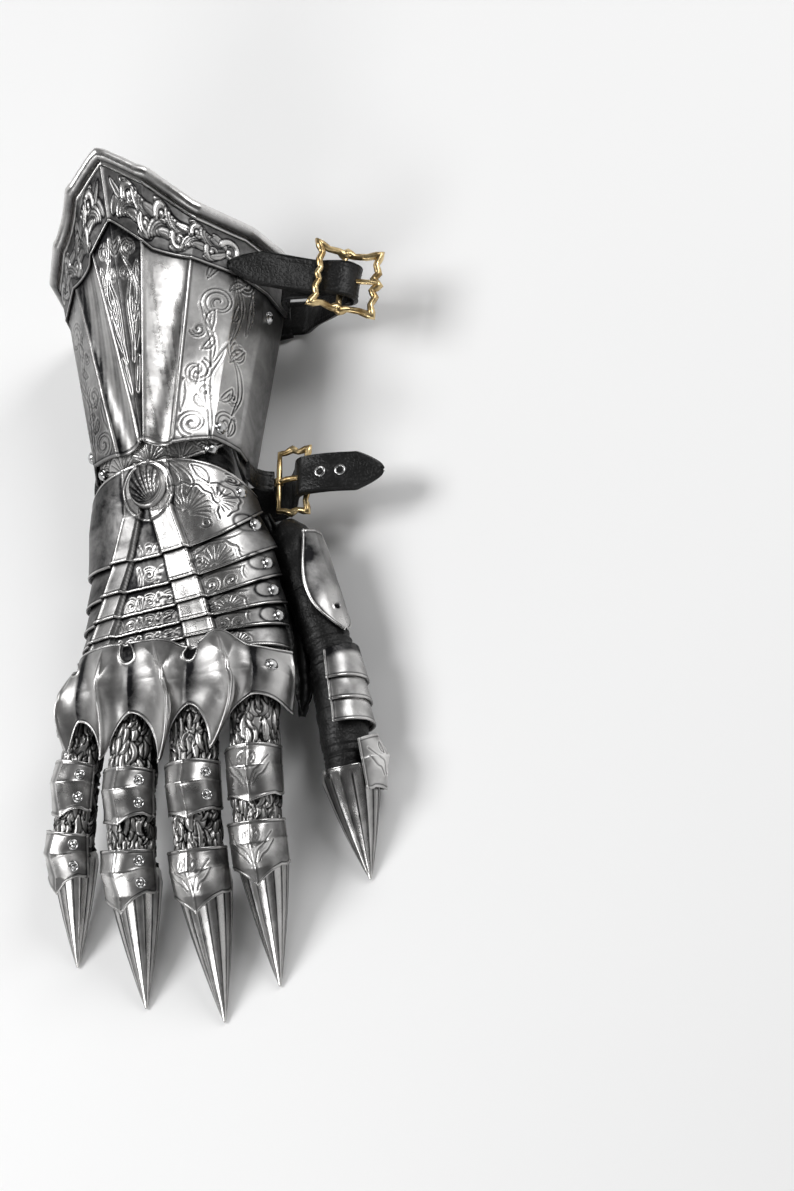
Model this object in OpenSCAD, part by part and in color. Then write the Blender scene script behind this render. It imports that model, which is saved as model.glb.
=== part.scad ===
/* [Cuff] */
// Height of the centre ridge over the floor at the wrist end
cuff_ridge_wrist = 80; // [79:0.5:84]
// Height of the centre ridge over the floor at the elbow end
cuff_ridge_elbow = 112; // [106:0.5:120]
// Half width of the cuff at the wrist end
cuff_half_wrist = 39; // [38.5:0.5:43]
// Half width of the cuff at the elbow end
cuff_half_elbow = 58; // [56:0.5:63]
// Where the apex of the rim is along the arm
cuff_apex_y = 212; // [206:0.5:224]
// Where the wrist end of the cuff plate is along the arm
cuff_wrist_y = 69; // [67:0.5:72]
// Width of the border band at the apex
band_w = 33; // [26:0.5:38]
// Radius of the rolled rim
rim_r = 1.9; // [1.5:0.1:3]
// Thickness of the steel plates
plate_t = 1.2; // [0.8:0.1:1.4]
// Thickness of the glove's leather
leather_t = 2; // [1.2:0.1:2.6]

/* [Hand] */
// Where the wrist pivot is along the arm
wrist_y = 80; // [78:0.5:82]
// Height of the wrist pivot over the floor
wrist_z = 45; // [44:0.5:46]
// Height of the hand's back at the boss, without plates
back_z = 72.5; // [71:0.5:73.5]
// Height of the hand's back at the knuckles, without plates
knuckle_z = 52; // [50:0.5:53]
// Half width of the back lames at the knuckles
back_half = 51; // [48:0.5:52]
// How far the two spines of the back lames stand up
spine_h = 3; // [1:0.1:4]
// Diameter of the shell boss
boss_d = 20; // [14:0.5:24]
// Length of the leather palm patch
patch_l = 44; // [30:1:50]
// Width of the leather palm patch
patch_w = 50; // [36:1:60]
// Thickness of the leather palm patch
patch_t = 2; // [1.2:0.1:2.4]

/* [Fingers] */
// Outer radius of the finger stalls
stall_r = 11.2; // [10.6:0.1:11.6]
// Outer radius of the little finger's stalls
little_r = 9.6; // [9:0.1:10]
// Outer radius of the thumb's stalls
thumb_r = 12; // [11:0.1:12.4]
// Wall of the stalls
stall_wall = 1.8; // [1.2:0.1:2.4]
// Thickness of the embossed sleeves
sleeve_t = 1; // [0.6:0.1:1.2]
// How far the joint plates stand up to their peaks
peak_h = 4; // [2:0.1:5]
// Depth of the sockets in the claws
socket_l = 26; // [16:1:30]
// Radius of the claw tips
claw_tip_r = 0.8; // [0.5:0.1:1.2]

/* [Straps and buckles] */
// Width of the upper strap
strap_w = 18; // [14:0.5:20]
// Width of the wrist strap
wrist_strap_w = 20; // [16:0.5:20]
// Thickness of the straps
strap_t = 2.4; // [1.8:0.1:2.6]
// Diameter of the buckle bars
bar_d = 3; // [2.6:0.1:3.2]
// Side play of the buckle frames round their straps
frame_play = 4; // [3:0.5:5]
// Width of the buckle tongues
tongue_w = 3; // [2.4:0.1:3.4]

/* [Fasteners] */
// Diameter of the rivet heads on cuff and hand
rivet_d = 7; // [5:0.5:8]
// Diameter of the rivet heads on the fingers
small_rivet_d = 4; // [3:0.5:5]
// Diameter of the rivet shanks
shank_d = 2.4; // [1.6:0.2:3]

/* [Hidden] */
$fn = 48;

// Play between pieces that lie over each other
play = 0.4;
steel = "#9c9c9a";
leather = "#1c1b1a";
brass = "#b08a3c";

// Helper functions
function mix(a, b, f) = a + (b - a) * f;
function clamp(x, a, b) = min(max(x, a), b);
function unit(v) = v / norm(v);
// Value at x on a polyline given as a list of [x, value]
function along(table, x, i = 0) =
    x <= table[0][0] ? table[0][1] : x >= table[len(table) - 1][0] ? table[len(table) - 1][1] :
    i >= len(table) - 2 || x < table[i + 1][0]
    ? mix(table[i][1], table[i + 1][1], (x - table[i][0]) / (table[i + 1][0] - table[i][0]))
    : along(table, x, i + 1);

// Outward normal of a grid of points at row j and column i
function grid_normal(g, i, j, nu, nv, closed) =
    let (
        i0 = closed ? (i + nu - 1) % nu : max(i - 1, 0),
        i1 = closed ? (i + 1) % nu : min(i + 1, nu),
        j0 = max(j - 1, 0),
        j1 = min(j + 1, nv)
    ) unit(cross(g[j][i1] - g[j][i0], g[j1][i] - g[j0][i]));

// A wall of thickness t whose outer face follows f(u, v), with u and v from 0 to 1
module sheet(f, nu, nv, t, closed = false) {
    cols = closed ? nu : nu + 1;
    g = [for (j = [0:nv]) [for (i = [0:cols - 1]) f(i / nu, j / nv)]];
    inner = [
        for (j = [0:nv]) [
            for (i = [0:cols - 1]) g[j][i] - t * grid_normal(g, i, j, nu, nv, closed)
        ]
    ];
    pts = concat([for (row = g) each row], [for (row = inner) each row]);
    n = cols * (nv + 1);
    function at(i, j, k) = k * n + j * cols + i % cols;
    skin = [
        for (j = [0:nv - 1], i = [0:nu - 1]) each [
            [at(i, j, 0), at(i, j + 1, 0), at(i + 1, j + 1, 0)],
            [at(i, j, 0), at(i + 1, j + 1, 0), at(i + 1, j, 0)],
            [at(i, j, 1), at(i + 1, j + 1, 1), at(i, j + 1, 1)],
            [at(i, j, 1), at(i + 1, j, 1), at(i + 1, j + 1, 1)]
        ]
    ];
    ends = [
        for (i = [0:nu - 1]) each [
            [at(i, 0, 0), at(i + 1, 0, 0), at(i + 1, 0, 1)],
            [at(i, 0, 0), at(i + 1, 0, 1), at(i, 0, 1)],
            [at(i, nv, 0), at(i + 1, nv, 1), at(i + 1, nv, 0)],
            [at(i, nv, 0), at(i, nv, 1), at(i + 1, nv, 1)]
        ]
    ];
    sides = closed ? [] : [
        for (j = [0:nv - 1]) each [
            [at(0, j, 0), at(0, j + 1, 1), at(0, j + 1, 0)],
            [at(0, j, 0), at(0, j, 1), at(0, j + 1, 1)],
            [at(nu, j, 0), at(nu, j + 1, 0), at(nu, j + 1, 1)],
            [at(nu, j, 0), at(nu, j + 1, 1), at(nu, j, 1)]
        ]
    ];
    polyhedron(points = pts, faces = concat(skin, ends, sides), convexity = 6);
}

// A strip of thickness t along a path in the plane
function strip(path, t) =
    let (
        last = len(path) - 1,
        side = [
            for (i = [0:last])
                let (d = unit(path[min(i + 1, last)] - path[max(i - 1, 0)])) [-d[1], d[0]]
        ]
    ) concat(
        [for (i = [0:last]) path[i] + side[i] * t / 2],
        [for (i = [last:-1:0]) path[i] - side[i] * t / 2]
    );
// Turns z to the direction n at the point p
module stand(p, n) {
    translate(p) rotate([0, acos(clamp(unit(n)[2], -1, 1)), atan2(n[1], n[0])]) children();
}
// Domed rivet whose head sits at z = 0
module rivet(d, shank_l) {
    ball_r = d * 0.58;
    rise = d * 0.36;
    intersection() {
        translate([0, 0, rise - ball_r]) sphere(r = ball_r);
        cylinder(d = d, h = rise);
    }
    translate([0, 0, -shank_l]) cylinder(d = shank_d, h = shank_l + 0.4);
}

// Corners of the cuff's section at the wrist end and at the elbow end, ridge first
section_y0 = 70;
section_y1 = 200;
function cuff_wrist(k) = [
    [0, cuff_ridge_wrist],
    [0.8, cuff_ridge_wrist - 0.1],
    [0.385 * cuff_half_wrist, cuff_ridge_wrist - 2.5],
    [0.82 * cuff_half_wrist, cuff_ridge_wrist - 13],
    [cuff_half_wrist, cuff_ridge_wrist - 30],
    [cuff_half_wrist - 0.5, 27]
][k];
function cuff_elbow(k) = [
    [0, cuff_ridge_elbow],
    [0.3 * cuff_half_elbow, cuff_ridge_elbow - 6],
    [0.66 * cuff_half_elbow, cuff_ridge_elbow - 28],
    [0.93 * cuff_half_elbow, cuff_ridge_elbow - 56],
    [cuff_half_elbow, cuff_ridge_elbow - 82],
    [cuff_half_elbow - 1.5, 1.5]
][k];
// Point of the cuff's section at girth s, from -5 on the little finger's side to 5
function cuff_xz(s, y) =
    let (
        k = min(floor(abs(s)), 4),
        f = abs(s) - k,
        w = mix(cuff_wrist(k), cuff_wrist(k + 1), f),
        e = mix(cuff_elbow(k), cuff_elbow(k + 1), f),
        p = mix(w, e, (y - section_y0) / (section_y1 - section_y0)),
        dip = k == 1 ? 4 * f * (1 - f) : 0
    ) [sign(s) * p[0], p[1] - dip];
function rim_y(s) =
    let (x = abs(cuff_xz(s, 195)[0]), m = 0.65 * cuff_half_elbow)
    cuff_apex_y - 0.66 * min(x, m) - 0.22 * max(x - m, 0);
function band_y(s) =
    let (x = abs(cuff_xz(s, 165)[0]), m = 0.28 * cuff_half_elbow)
    cuff_apex_y - band_w - 0.9 * min(x, m) - 0.16 * max(x - m, 0);
function wrist_edge_y(s) = cuff_wrist_y + 1.4 * cos(s * 110) - 0.1 * s * s;
// Outward normal of the section in the plane across the arm
function cuff_normal(s, y) =
    let (
        a = cuff_xz(max(s - 0.05, -5), y),
        b = cuff_xz(min(s + 0.05, 5), y),
        d = unit(b - a)
    ) [-d[1], d[0]];
function cuff_at(s, y, off) =
    let (p = cuff_xz(s, y) + off * cuff_normal(s, y)) [p[0], y, p[1]];

module cuff_plate() {
    color(steel)
    sheet(
        function (u, v)
            let (s = mix(-5, 5, u)) cuff_at(s, mix(wrist_edge_y(s), rim_y(s) - 1, v), 0),
        20, 8, plate_t
    );
}
// The band lies on the cuff plate and rolls outwards into the rim
module cuff_border_band() {
    lift = plate_t + 0.2;
    flat_part = 0.4;
    color(steel)
    sheet(
        function (u, v)
            let (s = mix(-5, 5, u), y1 = rim_y(s))
            v <= flat_part
            ? cuff_at(s, mix(band_y(s), y1, v / flat_part), lift)
            : let (a = 280 * (v - flat_part) / (1 - flat_part))
              cuff_at(s, y1 + rim_r * sin(a), lift + rim_r * (1 - cos(a))),
        20, 10, plate_t
    );
}
// Leather cuff: it follows the plate on the back and closes under the arm
lining_y0 = wrist_y + 12;
lining_y1 = 176;
lining_floor = 7;
module cuff_lining() {
    upper = 0.6;
    s_end = 3.7;
    color(leather)
    sheet(
        function (u, v)
            let (y = mix(lining_y0, lining_y1, v))
            u <= upper
            ? cuff_at(mix(-s_end, s_end, u / upper), y, -plate_t - play)
            : let (
                p = cuff_at(s_end, y, -plate_t - play),
                a = 180 * (u - upper) / (1 - upper)
            ) [p[0] * cos(a), y, p[2] - (p[2] - lining_floor) * pow(sin(a), 0.8)],
        30, 5, leather_t, closed = true
    );
}
module cuff_rivets() {
    spots = [[3.2, 77], [-3.2, 77], [-4.3, 150], [4.3, 150], [4.2, 176], [-4.2, 176]];
    color(steel)
    for (spot = spots) {
        n = cuff_normal(spot[0], spot[1]);
        lift = spot[1] > 170 ? plate_t + 0.2 : 0;
        stand(cuff_at(spot[0], spot[1], lift), [n[0], 0, n[1]]) rivet(rivet_d, plate_t + 0.2);
    }
}

// Upper buckle: its centre bar is the origin of its own frame
upper_bar = [cuff_half_elbow + 37, 153, 41];
upper_turn = -12.7;
upper_slope = 24;
module at_upper() {
    translate(upper_bar) rotate([0, 0, upper_turn]) children();
}
module at_upper_sloped() {
    at_upper() rotate([0, upper_slope, 0]) children();
}
// A profile drawn in x and z, w wide across
module across(w, at = 0) {
    translate([0, at, 0]) rotate([90, 0, 0]) linear_extrude(height = w, center = true) children();
}
function slope_down(p, a) = [p[0] * cos(a) + p[1] * sin(a), p[1] * cos(a) - p[0] * sin(a)];
under_z = 1.5;
strap_tail = [[-40, 2.8], [-24, 1.9], [-12.5, 1.9], [-6, 4.2], [-1, 5.5]];
strap_curl = [[3.5, 5], [7, 2.4], [8, -1.5], [6.8, -5.5], [3, -9]];
module upper_strap() {
    upper_run = [for (p = concat(strap_tail, strap_curl)) slope_down(p, upper_slope)];
    low = under_z - upper_bar[2];
    path = concat(upper_run, [[-10, -19], [-24, -29], [-34, low + 1.2], [-40, low], [-50, low]]);
    end_x = -(cuff_half_elbow - 11.8);
    closing = [
        [50, under_z], [0, under_z], [end_x + 9, under_z], [end_x + 3, under_z + 2],
        [end_x + 0.4, under_z + 7], [end_x, 20]
    ];
    color(leather) {
        difference() {
            at_upper() across(strap_w) polygon(strip(path, strap_t));
            at_upper_sloped() translate([3, -tongue_w / 2 - 0.6, -3])
                cube([9, tongue_w + 1.2, 12]);
        }
        at_upper_sloped() across_flat_tip();
        translate([0, 161, 0]) across(strap_w) polygon(strip(closing, strap_t));
    }
}
// Pointed end of the tail, which lies toward the cuff
module across_flat_tip() {
    root = -39.5;
    tip = -57;
    translate([0, 0, strap_tail[0][1] - strap_t / 2]) linear_extrude(height = strap_t)
        polygon([
            [root, -strap_w / 2], [root, strap_w / 2],
            [mix(root, tip, 0.5), strap_w * 0.33], [tip, 0], [mix(root, tip, 0.5), -strap_w * 0.33]
        ]);
}
// Fold of a chape round a bar, with a notch for the tongue, and its run along a path
module chape(w, path) {
    fold_r = bar_d / 2 + 0.3;
    difference() {
        union() {
            across(w) polygon(strip(path, 2));
            rotate([90, 0, 0]) cylinder(r = fold_r + 2, h = w, center = true);
        }
        rotate([90, 0, 0]) cylinder(r = fold_r, h = w + 1, center = true);
        translate([-6, -tongue_w / 2 - 0.6, -6]) cube([12, tongue_w + 1.2, 12]);
    }
}
module upper_strap_chape() {
    flank = cuff_at(4.2, 160, 3.3);
    reach = (flank[0] - upper_bar[0]) / cos(upper_turn);
    color(leather)
    at_upper() chape(12, [
        [-2.6, -1.8], [-10, -4], [reach + 4, -5], [reach + 1, -6.5], [reach, -10], [reach, -18]
    ]);
}
// Frame with a hinge bar at the origin; rails follow a path, and further bars cross at points
module buckle_frame(inner_w, rail, bars) {
    rail_w = 3.6;
    for (side = [-1, 1])
        across(rail_w, side * (inner_w + rail_w) / 2) polygon(strip(rail, bar_d + 0.4));
    for (p = bars)
        translate([p[0], 0, p[1]]) rotate([90, 0, 0])
            cylinder(d = bar_d, h = inner_w + rail_w, center = true);
}
module buckle_tongue(path) {
    difference() {
        union() {
            across(tongue_w) polygon(strip(path, 2.2));
            rotate([90, 0, 0]) cylinder(d = bar_d + 3.6, h = tongue_w, center = true);
        }
        rotate([90, 0, 0]) cylinder(d = bar_d + 0.4, h = tongue_w + 1, center = true);
    }
}
module upper_buckle_frame() {
    color(brass)
    at_upper_sloped() buckle_frame(
        strap_w + 2 * frame_play,
        [[-14, 6.2], [-12.5, 6], [-6, 2.6], [0, 0], [8, 0.5], [15.5, 1.5], [17, 1.7]],
        [[-12.5, 6], [0, 0], [15.5, 1.5]]
    );
}
module upper_buckle_tongue() {
    color(brass)
    at_upper_sloped() buckle_tongue([[2.4, 1.2], [9, 3.2], [15, 4.4], [18, 4.9]]);
}

// Wrist buckle: its hinge bar is the origin of its own frame
wrist_strap_y = 62.5;
wrist_turn = -5;
wrist_bar = [cuff_half_wrist + 11, 0, 28];
wrist_slope = -3;
module at_wrist() {
    translate([0, wrist_strap_y, 0]) rotate([0, 0, wrist_turn]) children();
}
module at_wrist_buckle() {
    at_wrist() translate(wrist_bar) rotate([0, wrist_slope, 0]) children();
}
module wrist_strap() {
    wall = cuff_half_wrist + strap_t / 2 + 2;
    bar_x = wrist_bar[0];
    path = concat(
        [[-wall, 44], [-wall, 24], [-wall + 2, 15], [-wall + 9, 7.5], [-18, 4.9], [0, 4.5], [20, 4.8]],
        [
            for (p = [
                [-10, 6.2], [0, 11.5], [5.5, 19], [9, 26], [12, 30.6], [16.5, 32.4], [28, 32],
                [42, 29], [54, 26]
            ]) [bar_x + p[0], p[1]]
        ]
    );
    color(leather)
    at_wrist() difference() {
        across(wrist_strap_w) polygon(strip(path, strap_t));
        for (x = [24, 34])
            translate([bar_x + x, 0, 20]) cylinder(d = 4, h = 30);
        translate(wrist_bar) translate([3, -tongue_w / 2 - 0.6, -6])
            cube([13, tongue_w + 1.2, 16]);
        for (side = [-1, 1])
            translate([bar_x + 54.5, side * wrist_strap_w / 2, 20])
                rotate([0, 0, 45]) cube([9, 9, 40], center = true);
    }
}
module wrist_strap_chape() {
    wall = cuff_half_wrist + 2 - wrist_bar[0];
    color(leather)
    at_wrist() translate(wrist_bar) {
        chape(10, [[-2.2, 1.2], [-6, 3.4], [wall + 1, 7], [wall, 10], [wall, 18]]);
        translate([wall - 1, 5, 9]) cube([2, 15, 9]);
    }
}
module wrist_buckle_frame() {
    color(brass)
    at_wrist_buckle() buckle_frame(
        wrist_strap_w + 2 * frame_play, [[-1.8, 0], [0, 0], [13, -2], [15, -2.3]],
        [[0, 0], [13.5, -2.1]]
    );
}
module wrist_buckle_tongue() {
    color(brass)
    at_wrist_buckle() buckle_tongue([[2.2, 1.4], [8, 2.2], [13, 1.4], [16, 1]]);
}

// Wrist lame: a barrel round the wrist pivot
barrel = cuff_ridge_wrist - wrist_z - 2.4;
function barrel_r(x) = along([
    [0, barrel], [0.38 * cuff_half_wrist, barrel - 2.4], [0.77 * cuff_half_wrist, barrel - 10.5],
    [cuff_half_wrist - 2.5, barrel - 21]
], x);
module wrist_lame() {
    flank_x = cuff_half_wrist - 2.5;
    rivet_x = 0.75 * cuff_half_wrist;
    rivet_a = 38;
    color(steel) {
        sheet(
            function (u, v)
                let (
                    s = mix(1.15, -1.15, u),
                    x = clamp(abs(s), 0, 1) * flank_x,
                    a = mix(-2, 40, v),
                    r = barrel_r(x),
                    y = wrist_y - r * sin(a),
                    z = wrist_z + r * cos(a),
                    low = clamp((abs(s) - 1) / 0.15, 0, 1)
                ) [sign(s) * x, mix(y, mix(wrist_y - 6, 52, v), low), mix(z, 36, low)],
            18, 5, plate_t
        );
        for (side = [-1, 1]) {
            r = barrel_r(rivet_x) + 0.3;
            stand(
                [side * rivet_x, wrist_y - r * sin(rivet_a), wrist_z + r * cos(rivet_a)],
                [side * 0.62, -sin(rivet_a), cos(rivet_a)]
            ) rivet_head(0.8 * rivet_d);
        }
    }
}

// Back of the hand without plates: centre, half width, ridge height and edge height along the arm
function back_c(y) = along([[-46, -1.5], [-15, 0.2], [20, 1.3], [40, -1], [62, 0]], y);
function back_w(y) =
    back_half + along([[-46, 0.5], [-15, -0.8], [0, -3.2], [20, -5.8], [40, -10], [62, -14]], y);
function back_top(y) =
    let (fall = back_z - knuckle_z)
    along([
        [-46, knuckle_z], [-10, knuckle_z + 0.24 * fall], [20, knuckle_z + 0.58 * fall],
        [48, back_z], [66, back_z + 1.2]
    ], y);
back_edge = 35;
bulge = 2.5;
function back_angle(x, y) =
    let (f = clamp((x - back_c(y)) / back_w(y), -1, 1)) sign(f) * asin(pow(abs(f), bulge / 2));
// Point on the back at angle a, -90 on the little finger's side to 90
function back_xz(a, y) = [
    back_c(y) + back_w(y) * sign(a) * pow(abs(sin(a)), 2 / bulge),
    back_edge + (back_top(y) - back_edge) * pow(abs(cos(a)), 2 / bulge)
];
function back_normal(a, y) =
    let (d = unit(back_xz(min(a + 2, 89.5), y) - back_xz(max(a - 2, -89.5), y))) [-d[1], d[0]];
// The two spines: middle line and half width along the hand
function spine_x(side, y) = side > 0
    ? along([[-34, 17.5], [34, 5.5]], y)
    : along([[-24, -38], [36, -9]], y);
function spine_half(side, y) = side > 0
    ? along([[-34, 8], [34, 5.5]], y)
    : along([[-24, 7], [36, 4.5]], y);
function spine_rise(x, y) =
    let (
        r = spine_half(1, y) - abs(x - spine_x(1, y)),
        l = spine_half(-1, y) - abs(x - spine_x(-1, y)),
        fade = along([[-36, 0.5], [-10, 1], [34, 1], [44, 0]], clamp(y, -36, 44))
    ) spine_h * fade * clamp(0.5 + max(r, l) / 2, 0, 1);
// Angle of column i of 20 on a back lame, with columns along the edges of the spines
function back_columns(y) =
    let (
        edges = [
            for (side = [-1, 1], m = [-1, 1], d = [-1, 1])
                back_angle(spine_x(side, y) + m * spine_half(side, y) + m * d * m, y)
        ],
        stops = concat([-86], edges, [86]),
        parts = [5, 1, 1, 1, 2, 1, 2, 1, 6]
    ) [
        for (k = [0:8], i = [0:parts[k] - 1]) mix(stops[k], stops[k + 1], i / parts[k]),
        stops[9]
    ];
// Lower edges of the lames on the little finger's side, in the middle and on the thumb's side
lame_edges = [
    [48, 61, 48], [20, 14, 38], [4, 0, 18], [-8, -11, 3], [-17, -20, -12], [-25, -28, -24],
    [-33, -36, -36]
];
function lame_y(k, a) =
    let (e = lame_edges[k], f = pow(abs(a) / 86, 1.6)) mix(e[1], a < 0 ? e[0] : e[2], f);
module back_lame(k) {
    layer = plate_t + play;
    lap = k == 1 ? 0 : 5;
    color(steel)
    sheet(
        function (u, v)
            let (
                i = 20 - round(u * 20),
                a0 = back_columns(mix(lame_edges[k - 1][1], lame_edges[k][1], v))[i],
                y = mix(lame_y(k - 1, a0) + lap, lame_y(k, a0), v),
                a = back_columns(y)[i],
                p = back_xz(a, y),
                lift = mix(k == 1 ? 2 : 0.9, 2.7, v) * layer + spine_rise(p[0], y),
                q = p + lift * back_normal(a, y)
            ) [q[0], y, q[1]],
        20, 4, plate_t
    );
}
boss_y = 48;
boss_z = back_z + 2 * (plate_t + play) + 0.8;
module shell_boss() {
    ball_r = boss_d * 0.62;
    rise = boss_d * 0.3;
    color(steel)
    translate([0, boss_y, boss_z]) {
        intersection() {
            translate([0, 0, rise - ball_r]) sphere(r = ball_r);
            cylinder(d = boss_d, h = rise);
        }
        translate([0, 0, -4]) cylinder(d = 2 * shank_d, h = 5);
    }
}
function back_lift(a, y, lift) =
    let (p = back_xz(a, y) + lift * back_normal(a, y)) [p[0], y, p[1]];
module hand_rivets() {
    layer = plate_t + play;
    rows = [[66, 44], [69, 27], [71, 7], [72, -7], [74, -20]];
    color(steel)
    for (row = rows) {
        n = back_normal(row[0], row[1]);
        stand(back_lift(row[0], row[1], 2.1 * layer), [n[0], 0, n[1]]) rivet(rivet_d, 4);
    }
}

// Finger tables: index, middle, ring, little, thumb
finger_r = [stall_r, stall_r, stall_r, little_r, thumb_r];
root_x = [35, 3.5, -27, -54, 51.6];
root_y = [-46, -46.5, -45, -42, 30];
root_z = [36, 37.7, 36, 32.5, 0];
turn = [-4.5, -3.3, -7.5, -13, 15];
inward_mid = [0, 0, 0, 0, 12];
inward_tip = [0, 0, 0, 0, 2];
roll = [0, 0, 0, 0, 45];
len_base = [46, 48, 46, 39, 68];
len_mid = [33, 39, 36, 31, 56];
len_tip = [70, 74, 68, 58, 56];
bend_base = [2.5, 2.4, 2.5, 2.8, 1.7];
bend_mid = [8.5, 8.6, 8.7, 8.5, 3.3];
claw_r = [12.6, 13.4, 13.2, 11.4, 14];
// Bend of the last joint: it sets the claw's tip on the floor
function bend_tip(i) = i == 4
    ? 12.5
    : asin((root_z[i] - len_base[i] * sin(bend_base[i])
        - len_mid[i] * sin(bend_base[i] + bend_mid[i]) - claw_tip_r) / len_tip[i])
        - bend_base[i] - bend_mid[i];
function rx(a) = [[1, 0, 0], [0, cos(a), -sin(a)], [0, sin(a), cos(a)]];
function ry(a) = [[cos(a), 0, sin(a)], [0, 1, 0], [-sin(a), 0, cos(a)]];
function rz(a) = [[cos(a), -sin(a), 0], [sin(a), cos(a), 0], [0, 0, 1]];
function turn_base(i) = rz(turn[i]) * rx(bend_base[i]);
function turn_mid(i) = turn_base(i) * rz(-inward_mid[i]) * rx(bend_mid[i]);
function turn_tip(i) = turn_mid(i) * rz(-inward_tip[i]) * rx(bend_tip(i));
function reach_mid(i) = turn_base(i) * [0, -len_base[i], 0];
function reach_tip(i) = reach_mid(i) + turn_mid(i) * [0, -len_mid[i], 0];
function reach_end(i) = reach_tip(i) + turn_tip(i) * [0, -len_tip[i], 0];
// The thumb's root height follows from its tip on the floor
function origin_base(i) =
    [root_x[i], root_y[i], i == 4 ? claw_tip_r - reach_end(4)[2] : root_z[i]];
function origin_mid(i) = origin_base(i) + reach_mid(i);
function origin_tip(i) = origin_base(i) + reach_tip(i);
function placed(m, o) = [
    [m[0][0], m[0][1], m[0][2], o[0]],
    [m[1][0], m[1][1], m[1][2], o[1]],
    [m[2][0], m[2][1], m[2][2], o[2]],
    [0, 0, 0, 1]
];
module on_base(i) { multmatrix(placed(turn_base(i) * ry(roll[i]), origin_base(i))) children(); }
module on_mid(i) { multmatrix(placed(turn_mid(i) * ry(roll[i]), origin_mid(i))) children(); }
module on_tip(i) { multmatrix(placed(turn_tip(i) * ry(roll[i]), origin_tip(i))) children(); }

// Room for the palm side to fold: a wedge under a joint at y, opening toward side
module fold_wedge(y, side, a, r) {
    big = 2 * r + 4;
    translate([0, y, 0]) rotate([90, 0, 90]) linear_extrude(height = big, center = true)
        polygon([[0, 0.01], [-side * big * tan(a), -big], [side * big, -big], [side * big, 0.01]]);
}
// Leather tube along -y from y0 to y1, folded at joints at 0 and at end
module stall(r, y0, y1, fold0, end, fold1) {
    difference() {
        translate([0, y0, 0]) rotate([90, 0, 0]) cylinder(r = r, h = y0 - y1);
        translate([0, y0 + 1, 0]) rotate([90, 0, 0])
            cylinder(r = r - stall_wall, h = y0 - y1 + 2);
        fold_wedge(0, 1, fold0, r);
        fold_wedge(end, -1, fold1, r);
    }
}
// Embossed half sleeve over a stall
module sleeve(r, y0, y1) {
    translate([0, y0, 0]) rotate([90, 0, 0])
        rotate_extrude(angle = 176, start = 2) translate([r + 0.3, 0])
            square([sleeve_t, y0 - y1]);
}
// Angles at which each finger's joints fold
mcp_fold = 42;
pip_fold = 41;
dip_fold = 32;
thumb_fold = 32;
thumb_gap = 1.35;
// Gap between a stall and what it folds against, at the joint's own height
fold_gap = 0.35;
glove_front = -42;
reach_back = [0, 1.2, 0, 1.6];
module base_stall(i) {
    color(leather)
    on_base(i) stall(
        finger_r[i], glove_front - 1.4 * fold_gap + reach_back[i] - root_y[i], -len_base[i] + fold_gap,
        mcp_fold, -len_base[i], pip_fold
    );
}
module base_sleeve(i) {
    color(steel)
    on_base(i) sleeve(finger_r[i], -7, -len_base[i] + 1.2);
}
module mid_stall(i) {
    color(leather)
    on_mid(i) stall(finger_r[i], -fold_gap, -len_mid[i] + fold_gap, pip_fold, -len_mid[i], dip_fold);
}
module mid_sleeve(i) {
    color(steel)
    on_mid(i) sleeve(finger_r[i], -1.2, -len_mid[i] + 1.2);
}
// Peaked plate over a joint: it runs from y0 behind to y1 in front, pointed in the middle
module joint_plate(r, half, y0, y1, peak_y, point) {
    sheet(
        function (u, v)
            let (
                a = mix(half, -half, u),
                c = max(cos(90 * a / half), 0),
                y = mix(y0 + 1.5 * c, y1 - point * c * c, v),
                crest = clamp(1 - abs(y - peak_y) / (y > peak_y ? y0 - peak_y : peak_y - y1), 0, 1),
                back = clamp((y - peak_y) / (y0 - peak_y), 0, 1),
                q = r + peak_h * crest * c * c + 0.3 * back
            ) [q * sin(a), y, q * cos(a)],
        10, 4, plate_t
    );
}
function plate_r(i) = finger_r[i] + 0.3 + sleeve_t + play + plate_t;
module plate_rivets(r, ys, a) {
    lift = peak_h * pow(cos(a), 2) * 0.62;
    for (y = ys)
        stand([(r + lift) * sin(a), y, (r + lift) * cos(a)], [sin(a), 0, cos(a)])
            rivet_head(small_rivet_d);
}
module rivet_head(d) {
    ball_r = d * 0.6;
    rise = d * 0.34;
    intersection() {
        translate([0, 0, rise - ball_r]) sphere(r = ball_r);
        cylinder(d = d, h = rise);
    }
}
// How far each finger's plates sit round toward the thumb's side, and their half angle
plate_turn = [6, 0, -6, -16, 48];
plate_half = [80, 82, 78, 76, 52];
rivet_a = 48;
module mid_plate(i) {
    color(steel)
    on_mid(i) rotate([0, plate_turn[i], 0]) {
        joint_plate(plate_r(i), plate_half[i], 10, -13, 0, 3);
        plate_rivets(plate_r(i) + 0.6, [4, -7], rivet_a);
    }
}
module tip_plate(i) {
    r = claw_r[i] + play + plate_t;
    color(steel)
    on_tip(i) rotate([0, plate_turn[i], 0]) {
        joint_plate(r, plate_half[i], 9, -13, 0, 6);
        plate_rivets(r + 0.6, [4, -6], rivet_a);
    }
}
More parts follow.
